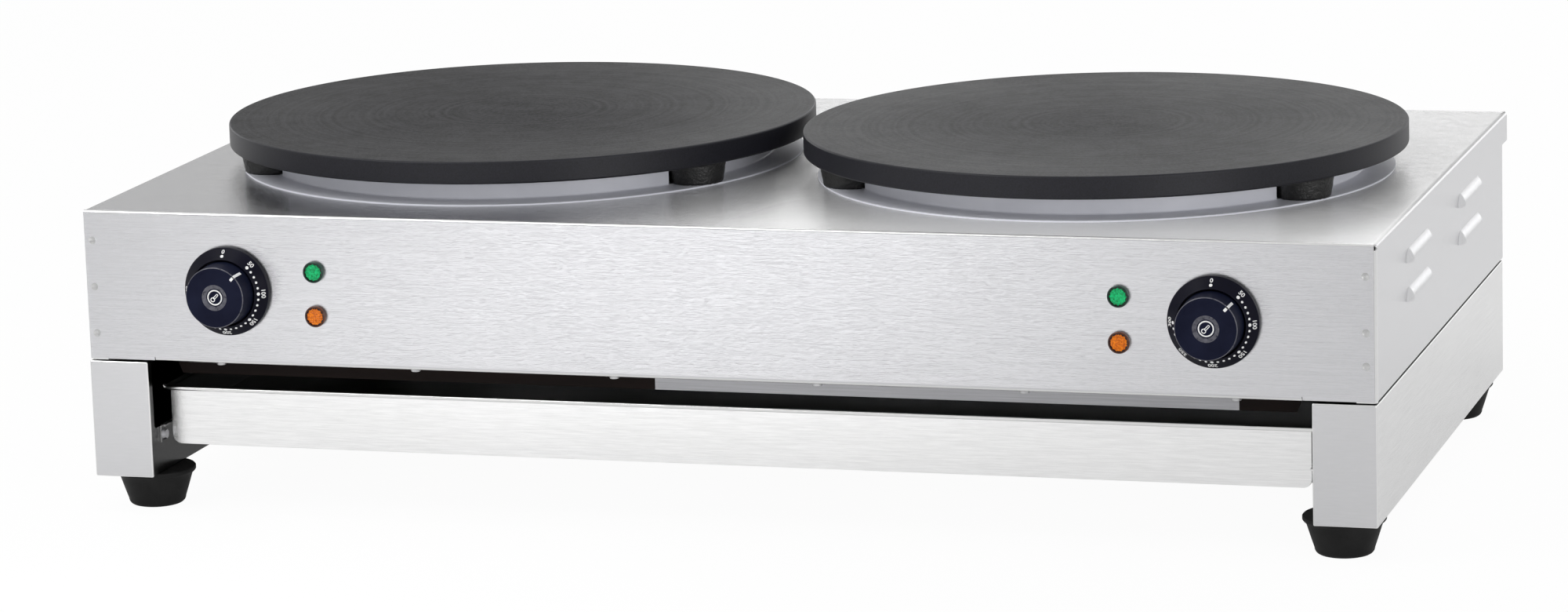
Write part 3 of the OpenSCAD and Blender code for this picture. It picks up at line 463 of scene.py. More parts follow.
def soften(piece, width, steps=2, angle=40):
    """Breaks the sharp edges of a piece."""
    modify(piece, "BEVEL", width=width / 1000, segments=steps, limit_method="ANGLE",
           angle_limit=math.radians(angle))
    smooth(piece)


def flat(name, low, high):
    """A flat sheet between two corners, lying or facing the front."""
    middle = [(a + b) / 2 for a, b in zip(low, high)]
    width, depth, height = [(b - a) / 1000 for a, b in zip(low, high)]
    tilt = math.pi / 2 if depth == 0 else 0
    return start(name, "plane", size=1, location=mm(*middle), rotation=(tilt, 0, 0),
                 scale=(width, depth or height, 1))


def thicken(piece, outside, thickness=sheet_t):
    """Turns a folded sheet's widest face to the outside and thickens the sheet inwards."""
    edit(piece)
    face_out()
    done()
    widest = max(piece.data.polygons, key=lambda face: face.area)
    if widest.normal.dot(Vector(outside)) < 0:
        edit(piece)
        choose("FACE")
        bpy.ops.mesh.flip_normals()
        done()
    modify(piece, "SOLIDIFY", thickness=thickness / 1000, offset=-1,
           solidify_mode="NON_MANIFOLD", nonmanifold_thickness_mode="CONSTRAINTS")


cross_x, cross_y, cross_z = 379.5, -205, 102.8
cross_depth, cross_drop = 20, 11.5
cross_taper, cross_tail = 5, 25.5
unshaded_from_x, unshaded_to_x = -46, 338
# Painted shade: the cross rail's middle is a much darker steel than the rails, for the shade in
# the gap under the panel.
cross_shade_steel = brushed("cross_shade_steel", 0.3, "x", 0.3, 0.16, cool=0.04)
# Painted shade: both ends of the cross rail are coloured near black for the dark gap under the
# panel.
cross_end_shade = Recipe("cross_end_shade", Roughness=0.5, Specular_IOR_Level=0.08)
shade_mottle = cross_end_shade.noise((8.0, 60.0, 60.0), 3.0)
cross_end_shade.colour(shade_mottle.above(0.5, 0.5), (0.002, 0.002, 0.002, 1), (0.010, 0.005, 0.004, 1))
cross = flat("cross_rail", (-cross_x, cross_y, cross_z), (cross_x, cross_y + cross_depth, cross_z))
edit(cross)
choose("EDGE", lambda m, d: near(m.y, cross_y) and abs(d.x) > 0.9)
pull(0, 0, -cross_drop)
for side in (-1, 1):
    choose("VERT", lambda m, d: near(m.z, cross_z - cross_drop) and m.x * side > 0)
    shift(-cross_taper * side, 0, 0)
    choose("EDGE", lambda m, d: near(m.x, side * cross_x) and abs(d.y) > 0.9)
    pull(cross_tail * side, 0, 0)
choose("EDGE", lambda m, d: near(m.y, cross_y) and near(m.z, cross_z) and abs(m.x) < 300)
bend(1.8, 5)
for x in (unshaded_from_x, unshaded_to_x):
    split((x, 0, 0), (1, 0, 0))
done()
thicken(cross, (0, 0, 1))
soften(cross, 0.15)
fit(cross, "body", "brushed_sheet", cross_shade_steel, "front_cross_rail")
# Painted shade on both ends of the cross rail.
refinish(cross, cross_end_shade.material, lambda m, d: not unshaded_from_x < m.x < unshaded_to_x)

ledge_z, ledge_in_x, ledge_front_y, ledge_rear_y = 58, 371, -204, 208
tongue_x, tongue_l, leg_h = 384.6, 12, 12
runner_steel = brushed("runner_steel", 0.5, "y", 0.3, 0.14, cool=0.0)
for side, name in both_sides:
    low_x, high_x = sorted((side * ledge_in_x, side * rail_in_x))
    runner = flat("runner_angle_" + name, (low_x, ledge_front_y, ledge_z),
                  (high_x, ledge_rear_y, ledge_z))
    edit(runner)
    split((side * tongue_x, 0, 0), (1, 0, 0))
    choose("EDGE", lambda m, d: near(m.y, ledge_front_y) and abs(m.x) > tongue_x)
    pull(0, -tongue_l, 0)
    choose("EDGE", lambda m, d: near(m.x, side * rail_in_x) and abs(d.y) > 0.9)
    pull(0, 0, -leg_h)
    choose("EDGE", lambda m, d: near(m.x, side * rail_in_x) and near(m.z, ledge_z)
           and abs(d.y) > 0.9)
    bend(1.6, 4)
    done()
    thicken(runner, (side, 0, 0))
    soften(runner, 0.15)
    fit(runner, "body", "plain_sheet", runner_steel, "runner_" + name)
    # Painted shade on the runner's leg against the rail.
    refinish(runner, rail_shade_steel, lambda m, d: abs(d.x) > 0.7)
    # Painted highlight on the runner's front and rear edges.
    refinish(runner, fold_highlight_steel, lambda m, d: abs(d.y) > 0.9)


def dress(finish, *names):
    """Gives plain nodes their material."""
    for name in names:
        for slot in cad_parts[name].material_slots:
            slot.material = finish


tie_steel = brushed("tie_steel", 0.62, "x", 0.25, 0.1)
dress(tie_steel, "base_rear_tie")


# ---- Drawer ----
# A shallow tray of thin bright sheet that slides on the runners. Its sides turn outwards
# over them, and its front is a plain apron with round lower corners and a rolled hem. The
# tray is coloured much darker than the apron, painted shade for the inside of the machine.

def drop(test):
    """Cuts away the faces that pass a test."""
    choose("FACE", test)
    bpy.ops.mesh.delete(type="FACE")


drawer_t = 1
apron_x, apron_y, apron_low_z, corner_r = 384, -206, 43.3, 6
hem_y, hem_z, hem_r, hem_w = apron_y - 0.5, 81, 1.5, 772
tray_x, tray_low_z, tray_high_z = 383.5, 58.3, 80.3
tray_front_y, tray_rear_y = -205, 215
drawer_steel = brushed("drawer_steel", 0.80, "x", 0.2, 0.09, length=9, cool=0.0)
# Painted shade: the tray is coloured far darker than its apron, for the shade inside the machine.
tray_shade_steel = brushed("tray_shade_steel", 0.3, "y", 0.25, 0.12, cool=0.0)

apron = flat("drawer_apron", (-apron_x, apron_y, apron_low_z), (apron_x, apron_y, hem_z))
edit(apron)
choose("VERT", lambda m, d: near(m.z, apron_low_z))
bpy.ops.mesh.bevel(offset=corner_r / 1000, segments=8, affect="VERTICES")
done()
thicken(apron, (0, -1, 0), drawer_t)
soften(apron, 0.4)
hem = start("hem", "cylinder", vertices=32, radius=hem_r / 1000, depth=hem_w / 1000,
            location=mm(0, hem_y, hem_z), rotation=(0, math.pi / 2, 0))
edit(hem)
for side in (-1, 1):
    choose("FACE", lambda m, d: d.x * side > 0.9 and m.x * side > 385)
    pull(1.4 * side, 0, 0.3)
    pull(0.6 * side, 0, 1.2)
done()
smooth(hem, 60)
apron = join([apron, hem])
fit(apron, "drawer", "drawer_sheet", drawer_steel, "drawer_front")
# Painted highlight on the rolled hem.
refinish(apron, fold_highlight_steel, lambda m, d: m.z > hem_z - 1.6)

tray = block("tray", (-tray_x, tray_front_y, tray_low_z), (tray_x, tray_rear_y, tray_high_z))
edit(tray)
drop(lambda m, d: d.z > 0.9)
for side in (-1, 1):
    choose("EDGE", lambda m, d: near(m.x, side * tray_x) and near(m.z, tray_high_z)
           and abs(d.y) > 0.9)
    pull(4.5 * side, 0, 0)
    pull(0, 0, 2.5)
choose("EDGE", lambda m, d: near(m.z, tray_low_z)
       or (abs(d.z) > 0.9 and near(abs(m.x), tray_x)))
bend(1.5, 4)
done()
thicken(tray, (0, 0, -1), drawer_t)
soften(tray, 0.12)
# The tray takes its painted shade.
fit(tray, "drawer", "drawer_sheet", tray_shade_steel, "drawer_tray")


# ---- Housing wrapper ----
# The top and both side walls are one stainless sheet, folded down along the sides and
# turned in at the front and the bottom. Four louvres are pressed out of each wall, and the
# top runs past the rear panel to a lip.

top_z, low_z, lip_h = 204, 104, 20
wrapper_y, flange_y, lip_y = -227, -228.8, 250
flange_w, corner_cut = 13, 3
relief_x, relief_y, relief_h = 426, -224.8, 4
heat_hole_r, stud_hole_r = 158.6, 3.3
plate_x, plate_y = 204, 5
lug_ring_r = 174
lug_angles = (-30, 90, 210)
lug_spots = [(lug_ring_r * math.cos(math.radians(angle)),
              lug_ring_r * math.sin(math.radians(angle))) for angle in lug_angles]
louvre_r, louvre_half, louvre_depth, louvre_t = 12.125, 31, 4.3, 0.9
louvre_x, louvre_ys, louvre_zs = 434, (-88, 98), (172, 147)
# The top sheet has painted light on its right-hand part and its front strip.
top_steel = brushed("top_steel", 0.40, "x", 0.12, 0.08, 0.1, length=40, cool=0.02,
                    painted_light_share=0.72)
wall_steel = brushed("wall_steel", 0.68, "z", 0.25, 0.04, 0.03, cool=0.02)


def punch(x, y, z, radius, along="z", sides=32, length=20):
    """A round punch that cuts a hole along Z or along Y."""
    turn = (math.pi / 2, 0, 0) if along == "y" else (0, 0, 0)
    return start("hole", "cylinder", vertices=sides, radius=radius / 1000,
                 depth=length / 1000, location=mm(x, y, z), rotation=turn)


wrapper = flat("wrapper", (-side_x, wrapper_y, top_z), (side_x, rear_y, top_z))
edit(wrapper)
for side in (-1, 1):
    choose("EDGE", lambda m, d: near(m.x, side * side_x) and abs(d.y) > 0.9)
    pull(0, 0, low_z - top_z)
split((0, relief_y, 0), (0, 1, 0))
split((0, 0, top_z - relief_h), (0, 0, 1))
split((0, 0, top_z - lip_h), (0, 0, 1))
drop(lambda m, d: abs(d.x) > 0.9 and m.y < relief_y and m.z > top_z - relief_h)
for side in (-1, 1):
    choose("VERT", lambda m, d: near(m.x, side * side_x) and near(m.y, wrapper_y)
           and near(m.z, top_z))
    shift(-corner_cut * side, 0, 0)
    choose("VERT", lambda m, d: near(m.x, side * side_x) and near(m.y, wrapper_y)
           and m.z < top_z - 1)
    shift(0, flange_y - wrapper_y, 0)
    choose("EDGE", lambda m, d: near(m.x, side * side_x) and near(m.y, flange_y))
    pull(-flange_w * side, 0, 0)
    choose("EDGE", lambda m, d: near(m.x, side * side_x) and near(m.z, low_z) and m.y > -226)
    pull(-flange_w * side, 0, 0)
choose("EDGE", lambda m, d: near(m.y, rear_y) and m.z > top_z - lip_h)
pull(0, lip_y - rear_y, 0)
for x in (-relief_x, relief_x):
    split((x, 0, 0), (1, 0, 0))
choose("EDGE", lambda m, d: near(m.y, lip_y) and near(m.z, top_z) and abs(m.x) < relief_x - 1)
pull(0, 0, -lip_h)
choose("EDGE", lambda m, d: near(abs(m.x), side_x) and near(m.y, flange_y) and m.z < top_z - 3
       or near(abs(m.x), side_x) and near(m.z, top_z) and m.y > -224 and abs(d.y) > 0.9
       or near(m.y, lip_y) and near(m.z, top_z) and abs(m.x) < relief_x - 1)
bend(3, 6)
choose("EDGE", lambda m, d: near(abs(m.x), side_x) and near(m.z, low_z) and m.y > -224
       and abs(d.y) > 0.9)
bend(1.4, 4)
done()
thicken(wrapper, (0, 0, 1))

holes = []
for side in (-1, 1):
    holes.append(punch(side * plate_x, plate_y, top_z, heat_hole_r, sides=128))
    for x, y in lug_spots:
        holes.append(punch(side * plate_x + x, plate_y + y, top_z, stud_hole_r, sides=24))
    for y in louvre_ys:
        for z in louvre_zs:
            holes.append(sided("hole", side, (420, y - 35, z + 0.6), (440, y + 35, z + 6)))
carve(wrapper, holes)
soften(wrapper, 0.12)


def louvre(side):
    """A pressed hood: a capsule along Y, cut off at the wall and at its lower edge."""
    hood = start("louvre", "uv_sphere", segments=64, ring_count=32, radius=louvre_r / 1000,
                 rotation=(math.pi / 2, 0, 0))
    edit(hood)
    for way in (-1, 1):
        choose("VERT", lambda m, d: m.y * way > 0.01)
        shift(0, louvre_half * way, 0)
    choose("FACE")
    bpy.ops.mesh.bisect(plane_co=mm(side * (louvre_r - louvre_depth), 0, 0),
                        plane_no=(side, 0, 0), clear_inner=True)
    choose("FACE")
    bpy.ops.mesh.bisect(plane_co=(0, 0, 0), plane_no=(0, 0, 1), clear_inner=True)
    done()
    thicken(hood, (side, 0, 0), louvre_t)
    soften(hood, 0.25, 2, 60)
    return hood


hoods = []
for side in (-1, 1):
    hood_model = louvre(side)
    for y in louvre_ys:
        for z in louvre_zs:
            hoods.append(place(twin(hood_model, "hood"), (side * (louvre_x - louvre_r), y, z)))
    scrap(hood_model)
wrapper = join([wrapper] + hoods)
fit(wrapper, "body", "brushed_sheet", top_steel, "housing_wrapper")
refinish(wrapper, wall_steel, lambda m, d: abs(d.x) > 0.72 or abs(m.x) > side_x + 0.1
         or (m.z < 200 and abs(m.x) > 400))
# Painted highlight on the wrapper's front vertical bends.
refinish(wrapper, fold_highlight_steel, lambda m, d: m.y < -225 and abs(m.x) > 420 and m.z < 201)


# ---- Front panel ----
# A brushed stainless sheet, rounded over at the top to meet the top sheet, with a folded
# return along its lower edge. It is spot welded to the wrapper's flanges at both ends.

panel_x, panel_end_z = side_x - sheet_t, 104.8
return_x, slit_w, slit_z = 383, 0.3, 107
dial_x, dial_z = 328.5, 153.3
lamp_x = 268
lamp_zs = {"amber": 138, "green": 167.3}
shaft_hole_r, lamp_hole_r = 5.3, 5.8
weld_x, weld_r, weld_depth = 423.5, 5.5, 0.6
weld_zs = {-1: (122, 153, 184), 1: (127.5, 148.6, 184)}
panel_steel = brushed("panel_steel", 0.58, "x", 0.17, 0.08, 0.06, length=30)

panel = flat("front_sheet", (-panel_x, front_y, panel_end_z), (panel_x, front_y, top_z))
edit(panel)
for x in (-return_x - slit_w, -return_x, return_x, return_x + slit_w):
    split((x, 0, 0), (1, 0, 0))
split((0, 0, slit_z), (0, 0, 1))
drop(lambda m, d: return_x < abs(m.x) < return_x + slit_w and m.z < slit_z)
choose("EDGE", lambda m, d: near(m.z, top_z))
pull(0, 2.6, 0)
choose("VERT", lambda m, d: near(m.z, panel_end_z) and abs(m.x) < return_x + 0.1)
shift(0, 0, low_z - panel_end_z)
choose("EDGE", lambda m, d: near(m.z, low_z) and abs(m.x) < return_x and abs(d.x) > 0.9)
pull(0, flange_w, 0)
choose("EDGE", lambda m, d: near(m.y, front_y) and near(m.z, top_z) and abs(d.x) > 0.9)
bend(1.6, 6)
choose("EDGE", lambda m, d: near(m.y, front_y) and near(m.z, low_z) and abs(d.x) > 0.9)
bend(2.6, 5)
done()
thicken(panel, (0, -1, 0))
holes = []
for side in (-1, 1):
    holes.append(punch(side * dial_x, front_y, dial_z, shaft_hole_r, "y"))
    for z in lamp_zs.values():
        holes.append(punch(side * lamp_x, front_y, z, lamp_hole_r, "y"))
    for z in weld_zs[side]:
        holes.append(start("dent", "uv_sphere", segments=48, ring_count=24,
                           radius=weld_r / 1000, rotation=(math.pi / 2, 0, 0),
                           location=mm(side * weld_x, front_y - weld_r + weld_depth, z)))
carve(panel, holes)
soften(panel, 0.12)
fit(panel, "body", "brushed_sheet", panel_steel, "front_panel")
# Painted highlight on the panel's top bend and lower fold.
refinish(panel, fold_highlight_steel, lambda m, d: abs(d.z) > 0.25 and not 106.8 < m.z < 200)
refinish(panel, runner_steel, lambda m, d: abs(m.x) > 418 and -229.98 < m.y < -228.9)


# ---- Rear panel and housing floor ----
# Plain stainless sheets. The rear panel has two rows of vent slots and is screwed to the
# wrapper, and the floor is screwed to the returns of both panels. The floor is coloured
# near black, painted shade for the inside of the housing.

rear_x, rear_top_z, gap_w, gap_z = 427, 202.5, 1.2, 108
gland_x, gland_z, gland_hole_r = 204, 150, 10.3
earth_z, earth_hole_r = 128, 4.3
vent_x, vent_pitch, vent_count = 246, 12, 10
rear_steel = brushed("rear_steel", 0.62, "x", 0.25, 0.1)

rear = flat("rear_sheet", (-rear_x, rear_y, low_z), (rear_x, rear_y, rear_top_z))
edit(rear)
for x in (-return_x - gap_w, -return_x, return_x, return_x + gap_w):
    split((x, 0, 0), (1, 0, 0))
split((0, 0, gap_z), (0, 0, 1))
drop(lambda m, d: return_x < abs(m.x) < return_x + gap_w and m.z < gap_z)
choose("EDGE", lambda m, d: near(m.z, low_z) and abs(m.x) < return_x and abs(d.x) > 0.9)
pull(0, -14, 0)
choose("EDGE", lambda m, d: near(m.y, rear_y) and near(m.z, low_z) and abs(m.x) < return_x
       and abs(d.x) > 0.9)
bend(2, 5)
done()
thicken(rear, (0, 1, 0))
vent_model = block("vent", (-2, -10, -23), (2, 10, 23))
edit(vent_model)
choose("EDGE", lambda m, d: abs(d.y) > 0.9)
bend(1.95, 4)
done()
holes = [punch(0, rear_y, earth_z, earth_hole_r, "y")]
for side in (-1, 1):
    holes.append(punch(side * gland_x, rear_y, gland_z, gland_hole_r, "y", sides=48))
    for k in range(vent_count):
        holes.append(place(twin(vent_model, "vent"),
                           (side * (vent_x + vent_pitch * k), rear_y, gland_z)))
scrap(vent_model)
carve(rear, holes)
soften(rear, 0.12)
fit(rear, "body", "plain_sheet", rear_steel, "rear_panel")

# Painted shade: the housing floor is coloured near black for the shade under the housing.
floor_shade_steel = brushed("floor_shade_steel", 0.12, "x", 0.5, 0.15, cool=0.0)
dress(floor_shade_steel, "housing_floor")


# ---- Griddle plates ----
# Two cast iron discs, turned on top and at the rim and blackened. Each stands on three
# cast feet that were left as they came from the mould, rough and slightly tapered.

plate_r, plate_z, plate_top_z = 200, 220, 235
plate_model = turned("plate", [(plate_r - 1.5, plate_z)]
                     + arc((plate_r - 1.5, plate_z + 1.5), 1.5, -75, 0, 5)
                     + [(plate_r, plate_top_z - 1.6)]
                     + arc((plate_r - 1.3, plate_top_z - 1.3), 1.3, 0, 90, 6)
                     + [(10, plate_top_z)], 256)
smooth(plate_model, 35)
lug_model = turned("lug", [(17.2, 205), (18, 205.8)]
                   + [(18 + 2 * (k / 11), 205.8 + 12.2 * k / 11) for k in range(1, 12)]
                   + [(20.5, 219), (21.6, 219.7), (23, 220.2)], 96)
grain = bpy.data.textures.new("sand_mould", "CLOUDS")
grain.noise_scale = 0.0021
grain.noise_depth = 3
modify(lug_model, "DISPLACE", texture=grain, texture_coords="LOCAL", strength=0.0009,
       mid_level=0.5)
smooth(lug_model, 80)

iron = Recipe("cast_iron", Specular_IOR_Level=0.04)
pores = iron.noise(400.0, 4.0, roughness=0.75)
patch = iron.noise(6.0, 3.0)
mottle = iron.noise(55.0, 3.0)
across, along = iron.axes()[:2]
from_middle = ((across.maths("ABSOLUTE", across) - plate_x / 1000) ** 2.0
               + (along - plate_y / 1000) ** 2.0) ** 0.5


def turning_marks(scale, detail):
    """Rings round the middle of each plate, with scale as rings per metre."""
    return iron.node("TexNoise", {"noise_dimensions": "1D"}, W=from_middle * scale, Scale=1.0,
                     Detail=detail)


fine_rings = turning_marks(3500.0, 2.0)
broad_rings = turning_marks(260.0, 3.0)
tone = pores * 0.7 + mottle * 0.15 + broad_rings * 0.15
iron.colour(tone.above(0.5, 0.12), grey(0.0), grey(0.035, 0.1))
iron.set("Roughness", 0.33 + patch * 0.14 + pores * 0.2 - from_middle.above(0.1, 0.15) * 0.08)
iron.bump(pores * 0.7 + fine_rings * 0.3, 0.25)
rim_iron = Recipe("iron_rim", Specular_IOR_Level=0.28)
grains = rim_iron.noise(900.0, 4.0, roughness=0.7)
rim_iron.colour(grains.above(0.5, 0.5), grey(0.003, 0.5), grey(0.013, 0.5))
rim_iron.set("Roughness", 0.36 + grains * 0.12)
rim_iron.bump(grains, 0.05)
rough_iron = Recipe("rough_iron", Roughness=0.42, Specular_IOR_Level=0.6)
lumps = rough_iron.noise(700.0, 4.0)
rough_iron.colour(lumps.above(0.5, 0.4), grey(0.004), grey(0.012))
rough_iron.bump(lumps, 0.5)
lug_model.data.materials.append(rough_iron.material)
for side, name in both_sides:
    disc = place(twin(plate_model, "plate_" + name), (side * plate_x, plate_y, 0))
    fit(disc, "body", "cast_iron", iron.material, "griddle_plate_" + name)
    refinish(disc, rim_iron.material, lambda m, d: abs(d.z) < 0.95)
    lugs = [place(twin(lug_model, "lug"), (side * plate_x + x, plate_y + y, 0),
                  (0, 0, angle * 1.7)) for angle, (x, y) in zip(lug_angles, lug_spots)]
    join([disc] + lugs)
scrap(plate_model, lug_model)


# ---- Plate skirts ----
# A bright annealed sheet ring round each heating space: a flat flange on the top sheet and
# an upright wall, cut away round the plate's feet.

skirt_z, skirt_t = 205, 1
flange_r, wall_r, wall_h = 191, 171, 13.5
lug_gap_r, lug_gap_z = 21, 220.3
skirt_steel = Recipe("skirt_steel")
stain = skirt_steel.noise(30.0, 3.0)
matt = skirt_steel.noise(900.0, 2.0)
skirt_steel.colour(stain.above(0.5, 0.5), (0.80, 0.81, 0.88, 1), (0.90, 0.91, 0.98, 1))
skirt_steel.set("Roughness", 0.3 + matt * 0.1 + stain * 0.1)
skirt_steel.bump(matt, 0.02)
skirt_model = start("skirt", "circle", vertices=192, radius=flange_r / 1000,
                    location=mm(0, 0, skirt_z))
edit(skirt_model)
choose("EDGE")
pull(0, 0, 0)
bpy.ops.transform.resize(value=(wall_r / flange_r, wall_r / flange_r, 1),
                         center_override=mm(0, 0, skirt_z))
pull(0, 0, wall_h)
choose("EDGE", lambda m, d: near(m.z, skirt_z) and near(m.xy.length, wall_r, 0.5))
bend(1.2, 4)
done()
thicken(skirt_model, (0, 0, 1), skirt_t)
carve(skirt_model, [punch(x, y, lug_gap_z, lug_gap_r, sides=64, length=30)
                    for x, y in lug_spots])
soften(skirt_model, 0.15)
for side, name in both_sides:
    skirt = place(twin(skirt_model, "skirt_" + name), (side * plate_x, plate_y, 0))
    fit(skirt, "body", "skirt_sheet", skirt_steel.material, "plate_skirt_" + name)
scrap(skirt_model)


# ---- Element trays, elements and sensors ----
# What heats a plate hangs under it: a pressed dish with ceramic fibre, a sheathed element
# of two rings held up by a clamp bar, and the thermostat's copper bulb.

dress(brushed("dish_steel", 0.5, "x", 0.3, 0.12), "element_tray_left",
      "element_tray_right", "element_clamp_left", "element_clamp_right")
fibre = Recipe("ceramic_fibre", Roughness=0.95)
tufts = fibre.noise(1200.0, 5.0)
fibre.colour(tufts.above(0.5, 0.4), (0.62, 0.58, 0.48, 1), (0.86, 0.84, 0.78, 1))
fibre.bump(tufts, 0.4)
dress(fibre.material, "insulation_left", "insulation_right")
sheath = Recipe("element_sheath", Metallic=0.8)
oxide = sheath.noise(240.0, 4.0)
sheath.colour(oxide.above(0.5, 0.4), (0.05, 0.05, 0.045, 1), (0.16, 0.13, 0.11, 1))
sheath.set("Roughness", 0.4 + oxide * 0.3)
dress(sheath.material, "heating_element_left", "heating_element_right")
copper = Recipe("copper_tube", Metallic=1.0)
tarnish = copper.noise(150.0, 3.0)
copper.colour(tarnish.above(0.5, 0.5), (0.42, 0.20, 0.11, 1), (0.72, 0.38, 0.22, 1))
copper.set("Roughness", 0.25 + tarnish * 0.2)
dress(copper.material, "sensor_left", "sensor_right")


# ---- Dials ----
# A black moulded collar is fixed round each shaft. Its cone carries a white scale from 0
# to 300 with a large dot at each mark, and the knob sits in its recess.

phenolic = Recipe("black_moulding", Specular_IOR_Level=0.1)
haze = phenolic.noise(35.0, 3.0)
grit = phenolic.noise(1800.0, 2.0)
phenolic.colour(haze.above(0.5, 0.6), (0.001, 0.001, 0.005, 1), (0.003, 0.003, 0.010, 1))
phenolic.set("Roughness", 0.3 + haze * 0.08 + grit * 0.06)
phenolic.bump(grit, 0.02)
white_print = Recipe("white_print", Roughness=0.5)
ink = white_print.noise(700.0, 2.0)
white_print.colour(ink.above(0.5, 0.5), grey(0.72), grey(0.86))

cone_r, cone_z = 29.1, 4.05
cone_run, cone_rise = 6.4, 6.2
dot_ring_r, figure_ring_r = 24.3, 26.75
collar_model = turned("collar", [(6, 0), (29.0, 0), (29.25, 0.3), (29.25, 3.7)]
                      + [(cone_r - cone_run * k / 6, cone_z + cone_rise * k / 6)
                         for k in range(7)]
                      + [(22.5, 10.4), (22.25, 10.5), (22.05, 10.4), (22, 10.1), (22, 2.6),
                         (21.8, 2.5), (6, 2.5)], 128)
smooth(collar_model, 40)


def lay_on_cone(piece, radius, reading):
    """Lays a mark made flat at the origin on the cone, at its reading, clockwise from the
    top. Its own top points outwards, and the whole scale of 300 takes 270 degrees."""
    turn = math.radians(reading * 0.9)
    height = cone_z + (cone_r - radius) * cone_rise / cone_run + 0.05
    spot = mm(radius * math.sin(turn), radius * math.cos(turn), height)
    piece.matrix_world = (Matrix.Translation(spot) @ Matrix.Rotation(-turn, 4, "Z")
                          @ Matrix.Rotation(-math.atan2(cone_rise, cone_run), 4, "X"))
    only(piece)
    bpy.ops.object.transform_apply()
    return piece


def dot(radius):
    """A printed dot."""
    return start("dot", "cylinder", vertices=20, radius=radius / 1000, depth=0.00012)


big_dot, small_dot = dot(1.1), dot(0.8)
marks = []
for reading in [*range(50, 301, 10), 0]:
    dot_model = small_dot if reading % 50 else big_dot
    marks.append(lay_on_cone(twin(dot_model, "dot"), dot_ring_r, reading))
scrap(big_dot, small_dot)
for reading in range(0, 301, 50):
    bpy.ops.object.select_all(action="DESELECT")
    bpy.ops.object.text_add()
    figure = bpy.context.object
    figure.data.body = str(reading)
    figure.data.size = 0.0042
    figure.data.extrude = 0.00005
    figure.data.offset = 0.00006
    figure.data.align_x = figure.data.align_y = "CENTER"
    bpy.ops.object.convert(target="MESH")
    figure = bpy.context.object
    edit(figure)
    choose("VERT")
    bpy.ops.mesh.remove_doubles(threshold=0.000001)
    done()
    marks.append(lay_on_cone(figure, figure_ring_r, reading))
scale_model = join(marks)


def on_panel(piece, x, z):
    """Stands a piece made round the Z axis on the front panel."""
    return place(piece, (x, front_y, z), (90, 0, 0))


for side, name in both_sides:
    collar = on_panel(twin(collar_model, "dial_collar_" + name), side * dial_x, dial_z)
    fit(collar, "body", "dial_print", phenolic.material, "dial_plate_" + name)
    scale = on_panel(twin(scale_model, "dial_scale_" + name), side * dial_x, dial_z)
    fit(scale, "body", "dial_print", white_print.material)
scrap(collar_model, scale_model)


# ---- Knobs ----
# A black moulded knob pressed on each shaft. A white bar over the edge of its face is the
# pointer, and the dished middle has a plain thermometer sign in a ring.

knob_plastic = Recipe("knob_moulding", Specular_IOR_Level=0.04)
sheen = knob_plastic.noise(60.0, 3.0)
fine = knob_plastic.noise(1500.0, 2.0)
knob_plastic.colour(sheen.above(0.5, 0.6), (0.005, 0.006, 0.016, 1), (0.010, 0.012, 0.028, 1))
knob_plastic.set("Roughness", 0.32 + sheen * 0.1 + fine * 0.06)
knob_plastic.bump(fine, 0.03)
# Painted highlight: the knob's front chamfer takes a paler plastic than the knob, for the light it
# catches.
edge_highlight_plastic = Recipe("knob_edge_highlight")
highlight_mottle = edge_highlight_plastic.noise(400.0, 2.0)
edge_highlight_plastic.colour(highlight_mottle.above(0.5, 0.4), (0.03, 0.03, 0.045, 1), (0.09, 0.09, 0.11, 1))
edge_highlight_plastic.set("Roughness", 0.2 + highlight_mottle * 0.2)

knob_model = turned("knob", [(20.6, 3.3), (21, 3.6), (20.1, 23.8), (20.02, 24.25),
                             (19.8, 24.6), (19.45, 24.82), (19.1, 24.9), (8.6, 24.9),
                             (8.3, 24.8), (6.2, 24.1), (5.9, 24), (5.6, 23.95), (1, 23.95)], 128)
smooth(knob_model, 40)
bar = block("pointer", (-0.9, 16.5, 24.5), (0.9, 20.1, 25))
down = block("down", (-0.9, 19, 14), (0.9, 20.75, 25))
edit(down)
choose("VERT", lambda m, d: m.z > 24 and m.y > 20)
shift(0, -0.35, 0)
choose("EDGE", lambda m, d: m.z > 24 and m.y > 20 and abs(d.x) > 0.9)
bend(0.5, 3)
done()
bar = join([bar, down])
smooth(bar)
place(bar, (0, 0, 0), (0, 0, -45))


def hoop(radius, wire, y=0, z=0, segments=32):
    """A raised ring of round wire."""
    return start("hoop", "torus", major_radius=radius / 1000, minor_radius=wire / 1000,
                 major_segments=segments, minor_segments=8, location=mm(0, y, z))


ring = hoop(4.7, 0.46, z=23.95, segments=64)
bulb = hoop(1.3, 0.3)
stem = hoop(0.6, 0.26, y=1.5)
edit(stem)
choose("VERT", lambda m, d: m.y > 1.5)
shift(0, 2.8, 0)
done()
thermometer = place(join([bulb, stem]), (-1.45, -1.45, 23.95), (0, 0, -45))
signs = join([bar, ring, thermometer])
for side, name in both_sides:
    knob = on_panel(twin(knob_model, "grip_" + name), side * dial_x, dial_z)
    fit(knob, name + "_knob", "knob_plastic", knob_plastic.material, "knob_" + name)
    # Painted highlight on the knob's front chamfer.
    refinish(knob, edge_highlight_plastic.material, lambda m, d: 0.2 < -d.y < 0.97 and m.y < -253.7)
    pointer = on_panel(twin(signs, "pointer_" + name), side * dial_x, dial_z)
    fit(pointer, name + "_knob", "knob_plastic", white_print.material)
scrap(knob_model, signs)


# ---- Pilot lamps ----
# A green and an amber plastic lens beside each dial, pressed into the panel. Each has a
# glossy rounded rim and a face of small moulded pyramids that scatters the lamp's light.

